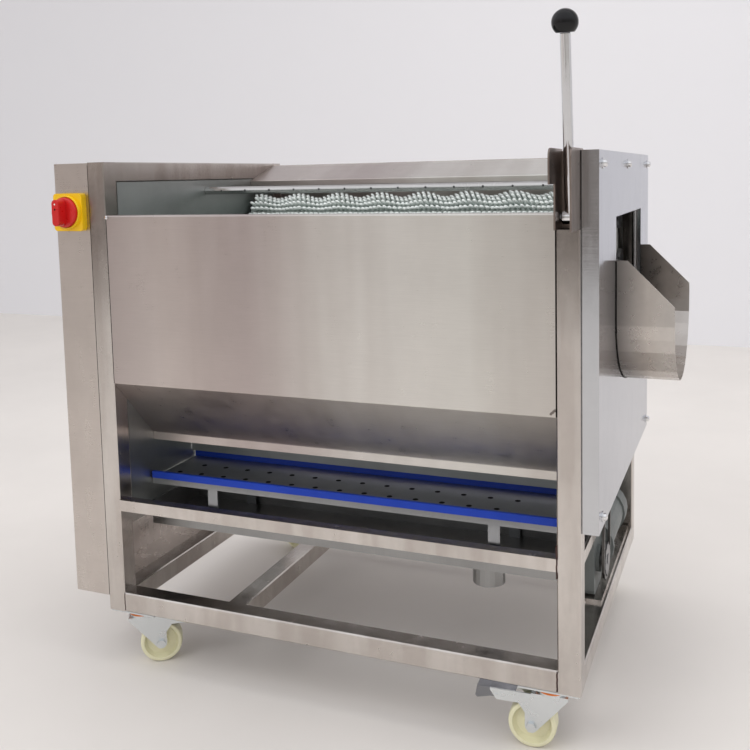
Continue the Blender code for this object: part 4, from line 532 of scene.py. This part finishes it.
def brush_mesh():
    """One roller's tufts about the X axis, in rows whose tips wind in a wave."""
    low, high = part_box("roller_brush_1")
    length = high.x - low.x
    rng = random.Random(TUFT_SEED)
    vertices, faces, tips = [], [], []

    def ring(centre, radius, side, up, tip):
        start = len(vertices)
        for k in range(TUFT_SIDES):
            turn = 2 * pi * k / TUFT_SIDES
            point = centre + side * (radius * cos(turn)) + up * (radius * sin(turn))
            vertices.append(tuple(point))
            tips.append(tip)
        return start

    def join(a, b):
        for k in range(TUFT_SIDES):
            j = (k + 1) % TUFT_SIDES
            faces.append((a + k, a + j, b + j, b + k))

    along = Vector((1, 0, 0))
    first = 2 * TUFT_WIDTHS[2] + TUFT_LEAN
    per_row = int((length - first - TUFT_LEAN) / TUFT_PITCH)
    for row in range(TUFT_ROWS):
        turn = 2 * pi * row / TUFT_ROWS
        outward = Vector((0, cos(turn), sin(turn)))
        around = Vector((0, -sin(turn), cos(turn)))
        for i in range(per_row):
            x = first + TUFT_PITCH * (i + 0.5 * (row % 2))
            wave = 2 * pi * x / WAVE_LEAD - turn
            crest = 0.5 - 0.5 * cos(wave)
            reach = TUFT_CREST - TUFT_WAVE * crest + rng.uniform(-0.5, 0.3) * TUFT_JITTER
            sway = TUFT_SWAY * sin(wave) + rng.uniform(-1, 1) * TUFT_JITTER
            lean = along * (sway - TUFT_LEAN) + around * (rng.uniform(-1, 1) * TUFT_JITTER)
            previous = None
            for height, width in zip(TUFT_HEIGHTS, TUFT_WIDTHS):
                radius = TUFT_ROOT + (reach - TUFT_ROOT) * height
                centre = along * x + outward * radius + lean * height ** 2
                current = ring(centre, width, along, around, height)
                if previous is not None:
                    join(previous, current)
                previous = current
            faces.append(tuple(previous + k for k in range(TUFT_SIDES)))
    mesh = bpy.data.meshes.new("brush")
    mesh.from_pydata(vertices, [], faces)
    # Height along each tuft, which the bristle material turns into painted shade at the roots.
    attribute = mesh.attributes.new("tip", "FLOAT", "POINT")
    attribute.data.foreach_set("value", tips)
    return mesh, length


def build_brushes():
    mesh, length = brush_mesh()
    mesh.update()
    bm = bmesh.new()
    bm.from_mesh(mesh)
    bmesh.ops.recalc_face_normals(bm, faces=bm.faces)
    bm.to_mesh(mesh)
    bm.free()
    for face in mesh.polygons:
        face.use_smooth = True
    core_profile = [
        (CORE_BORE, 0), (CORE_RADIUS - CORE_EDGE, 0), (CORE_RADIUS, CORE_EDGE),
        (CORE_RADIUS, length - CORE_EDGE), (CORE_RADIUS - CORE_EDGE, length), (CORE_BORE, length),
    ]
    for index in ROLLERS:
        place = Vector(joint(f"roller_{index}_spin")["pos_m"])
        low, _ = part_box(f"roller_brush_{index}")
        place.x = low.x
        tufts = mesh.copy()
        turn = Matrix.Rotation(ROLLER_TURN * index, 4, "X")
        tufts.transform(Matrix.Translation(place) @ turn)
        piece = bpy.data.objects.new(f"brush_tufts_{index}", tufts)
        bpy.context.scene.collection.objects.link(piece)
        dress(piece, "bristle", f"roller_{index}", f"roller_brush_{index}")
        # The core takes the dark green-grey painted shade.
        core = lathe(f"brush_core_painted_shade_{index}", core_profile, place, (1, 0, 0), CORE_SIDES, hollow=True)
        dress(core, "core", f"roller_{index}")


build_brushes()


# Lever and knob

ROD_RADIUS = 7.5 * MM
ROD_EDGE = 1 * MM
ROD_SIDES = 40
ROD_SHORT = 14 * MM
BOSS_BORE = 5.3 * MM
BOSS_RADIUS = 10 * MM
BOSS_EDGE = 1 * MM
BALL_GAP = 0.3 * MM
BALL_FLAT_EDGE = 1.5 * MM
BALL_STEPS = 28
BALL_SIDES = 56


def build_lever():
    """The rod with its boss on the pivot, and the ball that sits on the rod's end."""
    pivot = Vector(joint("lever_swing")["pos_m"])
    low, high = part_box("lever_knob")
    ball_radius = (high.x - low.x) / 2
    centre = (low + high) / 2
    centre.z = high.z - ball_radius
    axis = (centre - pivot).normalized()
    reach = (centre - pivot).length
    tip = reach - ROD_SHORT
    bm = bmesh.new()
    rod = [
        (0, 0), (ROD_RADIUS, 0), (ROD_RADIUS, tip - ROD_EDGE), (ROD_RADIUS - ROD_EDGE, tip),
        (0, tip),
    ]
    add_lathe(bm, rod, pivot, axis, ROD_SIDES)
    low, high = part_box("lever_rod")
    half = (high.x - low.x) / 2
    boss = [
        (BOSS_BORE, -half), (BOSS_RADIUS - BOSS_EDGE, -half), (BOSS_RADIUS, BOSS_EDGE - half),
        (BOSS_RADIUS, half - BOSS_EDGE), (BOSS_RADIUS - BOSS_EDGE, half), (BOSS_BORE, half),
    ]
    add_lathe(bm, boss, pivot, (1, 0, 0), ROD_SIDES, hollow=True)
    dress(new_object("lever_stem", bm), "chrome", "lever", "lever_rod")
    flat = (ball_radius ** 2 - (ROD_SHORT - BALL_GAP) ** 2) ** 0.5
    ball = [(0, tip + BALL_GAP), (flat, tip + BALL_GAP)]
    for i in range(BALL_STEPS + 1):
        turn = -pi / 2 + pi * i / BALL_STEPS
        height = reach + ball_radius * sin(turn)
        if height > tip + BALL_FLAT_EDGE:
            ball.append((ball_radius * cos(turn) if i < BALL_STEPS else 0, height))
    dress(lathe("lever_ball", ball, pivot, axis, BALL_SIDES), "black", "lever", "lever_knob")


build_lever()


# Casters

# (radius, distance along the axle) and (radius, distance up from the swivel), in millimetres
WHEEL_PROFILE = (
    (4.3, -15), (7, -15), (8, -14.5), (12, -14.5), (12, -9), (14, -6.5), (26, -5.5),
    (29.5, -9.5), (30.5, -14.4), (33.5, -15), (35.8, -14.2), (36.9, -12.4), (37.4, -9),
    (37.5, 0), (37.4, 9), (36.9, 12.4), (35.8, 14.2), (33.5, 15), (30.5, 14.4),
    (29.5, 9.5), (26, 5.5), (14, 6.5), (12, 9), (12, 14.5), (8, 14.5), (7, 15), (4.3, 15),
)
RING_PROFILE = (
    (21.5, -11.2), (24.6, -11.2), (25.3, -10.6), (25.3, -8.8), (24.6, -8.2), (21.5, -8.2),
)
WHEEL_SIDES = 72
RING_SIDES = 56
CASTER_EDGE = 0.4 * MM


def in_metres(profile):
    return [(radius * MM, along * MM) for radius, along in profile]


def build_casters():
    wheel_profile, ring_profile = in_metres(WHEEL_PROFILE), in_metres(RING_PROFILE)
    for corner in CORNERS:
        roll, swivel = joint(f"{corner}_roll"), joint(f"{corner}_swivel")
        wheel = lathe(
            f"{corner}_wheel_tread", wheel_profile, roll["pos_m"], roll["axis"], WHEEL_SIDES,
            hollow=True,
        )
        dress(wheel, "nylon", f"{corner}_wheel", f"{corner}_caster_wheel")
        ring = lathe(
            f"{corner}_dust_ring", ring_profile, swivel["pos_m"], (0, 0, 1), RING_SIDES,
            hollow=True,
        )
        dress(ring, "orange", f"{corner}_fork")
        for node in (f"{corner}_caster_fork", f"{corner}_caster_plate"):
            bevel(frame["nodes"][node], CASTER_EDGE, 1)


build_casters()


# Seams, fasteners and welds on the casing

SEAM_RADIUS = 0.6 * MM
SEAM_SIDES = 6
SEAM_SINK = 0.2 * MM
SEAM_SHORT = 1.0 * MM
BOX_SEAM_SHORT = 4 * MM
PANEL_FOLD = 421 * MM

# A washer and a domed head: (radius, distance out of the cover), in millimetres
BOLT_PROFILE = (
    (0, -0.3), (8.0, -0.3), (8.0, 0.9), (7.6, 1.3), (5.6, 1.3), (5.6, 4.6), (5.0, 5.8),
    (3.6, 6.7), (1.8, 7.2), (0, 7.3),
)
BOLT_SIDES = 36
BOLT_FRONT_INSET = 33 * MM
BOLT_REAR_INSET = 21 * MM
BOLT_MIDDLE_SHIFT = 5 * MM
BOLT_TOP_INSET = 19 * MM
BOLT_BOTTOM_INSET = 18 * MM

CHUTE_BEND_RISE = 115 * MM
CHUTE_SEAM_RADIUS = 0.9 * MM
CHUTE_SEAM_STEPS = 32
CHUTE_SEAM_PROUD = 0.3 * MM

TUBE = 35 * MM
WELD_SEED = 11
WELD_POINTS = 15
WELD_SWAY = 0.4
# (piece, side, bottom, top, radius) of the red welds along the front panel's edges, in millimetres
WELDS = (
    ("foot_weld_right", 1, 3, 34, 1.3), ("foot_weld_left", 0, 3, 34, 0.9),
    ("beam_weld_right", 1, 178, 229, 1.2),
)
SCORCH_START = 8
SCORCH_STEP = 1.6
SCORCH_BOTTOM = 425
SCORCH_RISE = 7 / 5
SCORCH_POINTS = 6
SCORCH_PROUD = 0.2 * MM
SCORCH_RADIUS = 2.0 * MM
PLUG_PROFILE = ((0, 0), (3.2, 0), (3.2, 1.0), (2.4, 1.5), (0, 1.6))
PLUG_SIDES = 24
PLUG_INSET = 2 * MM
PLUG_DROP = 4 * MM


def seam(name, path, radius=SEAM_RADIUS, finish="void"):
    """A thin line where two sheets meet, or a bead of weld."""
    bm = bmesh.new()
    add_tube(bm, path, radius, SEAM_SIDES)
    dress(new_object(name, bm), finish, "frame")


def build_seams():
    panel_low, panel_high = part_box("front_panel")
    box_low, box_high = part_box("left_box")
    cover_low, cover_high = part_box("chain_cover")
    cover_x = cover_low.x - SEAM_RADIUS / 2
    fold = ORIGIN.z + PANEL_FOLD
    for name, x, y, bottom, top in (
        ("panel_seam_left", panel_low.x, panel_low.y, fold, panel_high.z - SEAM_SHORT),
        ("panel_seam_right", panel_high.x, panel_low.y, fold, panel_high.z - SEAM_SHORT),
        ("box_seam", box_high.x, box_low.y, box_low.z + SEAM_SHORT, box_high.z - BOX_SEAM_SHORT),
        ("cover_seam", cover_x, cover_low.y, cover_low.z + SEAM_SHORT, cover_high.z - SEAM_SHORT),
    ):
        seam(name, [(x, y + SEAM_SINK, bottom), (x, y + SEAM_SINK, top)])


def build_cover_bolts():
    low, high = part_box("chain_cover")
    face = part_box("discharge_chute")[0].x
    front, back = low.y + BOLT_FRONT_INSET, high.y - BOLT_REAR_INSET
    middle = (low.y + high.y) / 2 - BOLT_MIDDLE_SHIFT
    top, bottom = high.z - BOLT_TOP_INSET, low.z + BOLT_BOTTOM_INSET
    places = [(front, top), (middle, top), (back, top), (front, bottom), (back, bottom)]
    profile = in_metres(BOLT_PROFILE)
    for i, (y, z) in enumerate(places):
        head = lathe(f"cover_bolt_{i + 1}", profile, (face, y, z), (1, 0, 0), BOLT_SIDES)
        dress(head, "chrome", "frame")


def build_chute_seam():
    """A dark line around the chute's root on the cover."""
    low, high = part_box("discharge_chute")
    x, top = low.x + CHUTE_SEAM_PROUD, high.z - SEAM_SHORT
    middle, half = (low.y + high.y) / 2, (high.y - low.y) / 2
    bend = low.z + CHUTE_BEND_RISE
    path = [(x, middle - half, top)]
    for i in range(CHUTE_SEAM_STEPS + 1):
        turn = pi + pi * i / CHUTE_SEAM_STEPS
        path.append((x, middle + half * cos(turn), bend + CHUTE_BEND_RISE * sin(turn)))
    path.append((x, middle + half, top))
    seam("chute_root_seam", path, CHUTE_SEAM_RADIUS)


def build_welds():
    """Welds along the front panel's edges, a weld at its fold and a plug at its top."""
    rng = random.Random(WELD_SEED)
    edges = [corner.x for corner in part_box("front_panel")]
    front = ORIGIN.y
    for name, side, bottom, top, radius in WELDS:
        path = []
        for i in range(WELD_POINTS):
            x = edges[side] + rng.uniform(-WELD_SWAY, WELD_SWAY) * MM
            z = bottom + (top - bottom) * i / (WELD_POINTS - 1)
            path.append((x, front, ORIGIN.z + z * MM))
        seam(name, path, radius * MM, "rust")
    path = []
    for i in range(SCORCH_POINTS):
        x = edges[1] + (i * SCORCH_STEP - SCORCH_START) * MM
        z = SCORCH_BOTTOM + SCORCH_RISE * i + rng.uniform(-1, 1)
        path.append((x, front + SCORCH_PROUD, ORIGIN.z + z * MM))
    seam("fold_weld", path, SCORCH_RADIUS, "weld")
    place = (ORIGIN.x + TUBE + PLUG_INSET, front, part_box("front_panel")[1].z - PLUG_DROP)
    plug = lathe("panel_plug", in_metres(PLUG_PROFILE), place, (0, -1, 0), PLUG_SIDES)
    dress(plug, "chrome", "frame")


DIAL_RADIUS = 27.0 * MM
DIAL_DEPTH = 13.0 * MM
DIAL_SHARE = 0.62
DIAL_SIDES = 64
DIAL_GAP = 0.2 * MM
GRIP_LENGTH, GRIP_WIDTH = 46 * MM, 15 * MM
GRIP_FLAT = 0.5 * MM
GRIP_SINK = 1 * MM
GRIP_SHORT = 0.1 * MM
GRIP_EDGE = 1.6 * MM
# (piece, rise from the dial's middle, radius, finish), in millimetres
SWITCH_DOTS = (("switch_dot", 6, 1.7, "void"), ("switch_mark", 15, 1.6, "white"))
DOT_SIDES = 20
PLATE_EDGE = 1.2 * MM


def build_switch():
    """A round red dial with a raised grip, in a yellow collar."""
    centre = Vector(joint("switch_turn")["pos_m"])
    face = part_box("switch_plate")[0].y
    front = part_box("switch_knob")[0].y
    depth = face - front
    place = Vector((centre.x, face, centre.z))
    out = Vector((0, -1, 0))
    rim = min(DIAL_DEPTH, depth * DIAL_SHARE)
    dial = [
        (0, DIAL_GAP), (DIAL_RADIUS - 2 * MM, DIAL_GAP), (DIAL_RADIUS - 0.6 * MM, rim * 0.5),
        (DIAL_RADIUS - 1 * MM, rim - 2 * MM), (DIAL_RADIUS - 2 * MM, rim - 0.7 * MM),
        (DIAL_RADIUS - 4 * MM, rim), (0, rim),
    ]
    dress(lathe("switch_dial", dial, place, out, DIAL_SIDES), "red", "switch", "switch_knob")
    bm = bmesh.new()
    outline = rounded(GRIP_WIDTH / 2, GRIP_LENGTH / 2, GRIP_WIDTH / 2 - GRIP_FLAT)
    height = depth - rim + GRIP_SINK - GRIP_SHORT
    add_prism(bm, outline, place + out * (rim - GRIP_SINK), (1, 0, 0), (0, 0, 1), out * height)
    grip = dress(new_object("switch_grip", bm), "red", "switch")
    bevel(grip, GRIP_EDGE, 3)
    for name, rise, radius, finish in SWITCH_DOTS:
        profile = in_metres(((0, -0.5), (radius, -0.5), (radius, 0.1), (0, 0.15)))
        spot = (centre.x, front + 0.1 * MM, centre.z + rise * MM)
        dress(lathe(name, profile, spot, out, DOT_SIDES), finish, "switch")
    collar = [
        (DIAL_RADIUS - 0.3 * MM, 0.1 * MM), (DIAL_RADIUS + 2.4 * MM, 0.1 * MM),
        (DIAL_RADIUS + 2.2 * MM, rim * 0.45), (DIAL_RADIUS + 1.2 * MM, rim * 0.55),
        (DIAL_RADIUS - 0.2 * MM, rim * 0.5),
    ]
    collar = lathe("switch_collar", collar, place, out, DIAL_SIDES, hollow=True)
    dress(collar, "yellow", "frame")
    bevel(frame["nodes"]["switch_plate"], PLATE_EDGE, 3)


LIP_Y, LIP_SHEET = 228 * MM, 1.5 * MM
LIP_LOW, LIP_HIGH = 234 * MM, 292 * MM
LIP_SIDE_GAP = 1.0 * MM
TRAY_FLOOR = 220 * MM
HOLE_PITCH = 48 * MM
HOLES_PER_ROW = 14
# (first hole's x, row's y)
HOLE_ROWS = ((68 * MM, 139 * MM), (92 * MM, 187 * MM))
HOLE_PROFILE = ((0, 0), (5.0, 0), (5.0, 0.15), (0, 0.2))
HOLE_SIDES = 20


def build_rear_lip():
    """The rear funnel sheet's lower lip, down to just above the tray's rim."""
    low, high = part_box("rear_panel")
    height = LIP_HIGH - LIP_LOW
    bm = bmesh.new()
    add_prism(
        bm, [(0, 0), (LIP_SHEET, 0), (LIP_SHEET, height), (0, height)],
        (low.x + LIP_SIDE_GAP, ORIGIN.y + LIP_Y, ORIGIN.z + LIP_LOW), (0, 1, 0), (0, 0, 1),
        Vector((high.x - low.x - 2 * LIP_SIDE_GAP, 0, 0)),
    )
    dress(new_object("rear_lip", bm), "inside", "frame")


def build_hole_shades():
    """Near-black discs of painted shade over the tray solid's drain holes, to show them round."""
    profile = in_metres(HOLE_PROFILE)
    bm = bmesh.new()
    for first, row in HOLE_ROWS:
        for i in range(HOLES_PER_ROW):
            place = at(first + HOLE_PITCH * i, row, TRAY_FLOOR)
            add_lathe(bm, profile, place, (0, 0, 1), HOLE_SIDES)
    dress(new_object("tray_hole_painted_shade", bm), "void", "frame")


build_switch()
build_rear_lip()
build_hole_shades()
build_seams()
build_cover_bolts()
build_chute_seam()
build_welds()


# Camera, stage and light

def build_camera():
    yaw, pitch, roll = CAMERA_YAW, CAMERA_PITCH, CAMERA_ROLL
    forward = Vector((-sin(yaw) * cos(pitch), cos(yaw) * cos(pitch), sin(pitch)))
    right = Vector((cos(yaw), sin(yaw), 0))
    up = right.cross(forward)
    tilted_right = right * cos(roll) + up * sin(roll)
    tilted_up = up * cos(roll) - right * sin(roll)
    data = bpy.data.cameras.new("camera")
    data.sensor_width = SENSOR
    data.lens = FOCAL_PIXELS * SENSOR / PICTURE_SIDE
    data.shift_x = (PICTURE_SIDE / 2 - PICTURE_CENTRE[0]) / PICTURE_SIDE
    data.shift_y = (PICTURE_CENTRE[1] - PICTURE_SIDE / 2) / PICTURE_SIDE
    camera = bpy.data.objects.new("camera", data)
    rotation = Matrix((tilted_right, tilted_up, -forward)).transposed()
    camera.matrix_world = Matrix.Translation(at(*CAMERA_PLACE)) @ rotation.to_4x4()
    bpy.context.scene.collection.objects.link(camera)
    bpy.context.scene.camera = camera


def stage_sheet(name, corners):
    bm = bmesh.new()
    bm.faces.new([bm.verts.new(corner) for corner in corners])
    sheet = new_object(name, bm)
    return sheet


def build_stage():
    half = FLOOR_SIZE / 2
    floor = stage_sheet("floor", (
        (-half, FLOOR_FRONT, 0), (half, FLOOR_FRONT, 0), (half, WALL_Y, 0), (-half, WALL_Y, 0),
    ))
    material, tree, shader = start_material("pale_floor", FLOOR_COLOUR, 0.55, 0.0)
    cloud = object_noise(tree, (1, 1, 1), 1.5, 4.0, 0.6)
    dark = tuple(c * 0.95 for c in FLOOR_COLOUR)
    tree.links.new(blend_colours(tree, cloud, dark, FLOOR_COLOUR), shader.inputs["Base Color"])
    floor.data.materials.append(material)
    wall = stage_sheet("backdrop", (
        (-half, WALL_Y, 0), (half, WALL_Y, 0), (half, WALL_Y, half), (-half, WALL_Y, half),
    ))
    material, _, _ = start_material("pale_wall", WALL_COLOUR, 0.8, 0.0)
    wall.data.materials.append(material)


def blend_towards(tree, value, first, second):
    """From one colour output to a plain colour, as a value goes from 0 to 1."""
    node = tree.nodes.new("ShaderNodeMix")
    node.data_type = "RGBA"
    tree.links.new(value, node.inputs[0])
    tree.links.new(first, node.inputs[6])
    node.inputs[7].default_value = (*second, 1.0)
    return node.outputs[2]


def build_world():
    """A soft room: bright above, pale behind, and in front darker and uneven from left to right."""
    world = bpy.data.worlds.new("room")
    bpy.context.scene.world = world
    world.use_nodes = True
    tree = world.node_tree
    background = tree.nodes["Background"]
    front, split = along_axis(tree, "Generated", "X", FRONT_COLOURS)
    behind = spread(tree, split.outputs["Y"], 0, 1, *BEHIND_RANGE)
    room = blend_towards(tree, behind, front, PALE_COLOUR)
    above = spread(tree, split.outputs["Z"], 0, 1, *SKY_RANGE)
    sky = blend_towards(tree, above, room, SKY_COLOUR)
    tree.links.new(sky, background.inputs["Color"])
    background.inputs["Strength"].default_value = ROOM_STRENGTH


def area_lamp(name, place, target, size, power):
    data = bpy.data.lights.new(name, "AREA")
    data.shape = "RECTANGLE"
    data.size, data.size_y = size
    data.energy = power
    lamp = bpy.data.objects.new(name, data)
    lamp.location = place
    lamp.rotation_euler = (Vector(target) - Vector(place)).to_track_quat("-Z", "Y").to_euler()
    bpy.context.scene.collection.objects.link(lamp)
    lamp.visible_glossy = False


build_camera()
build_stage()
build_world()
for name, place, target, size, power in LAMPS:
    area_lamp(name, place, target, size, power)

bpy.context.scene.view_settings.view_transform = "Standard"
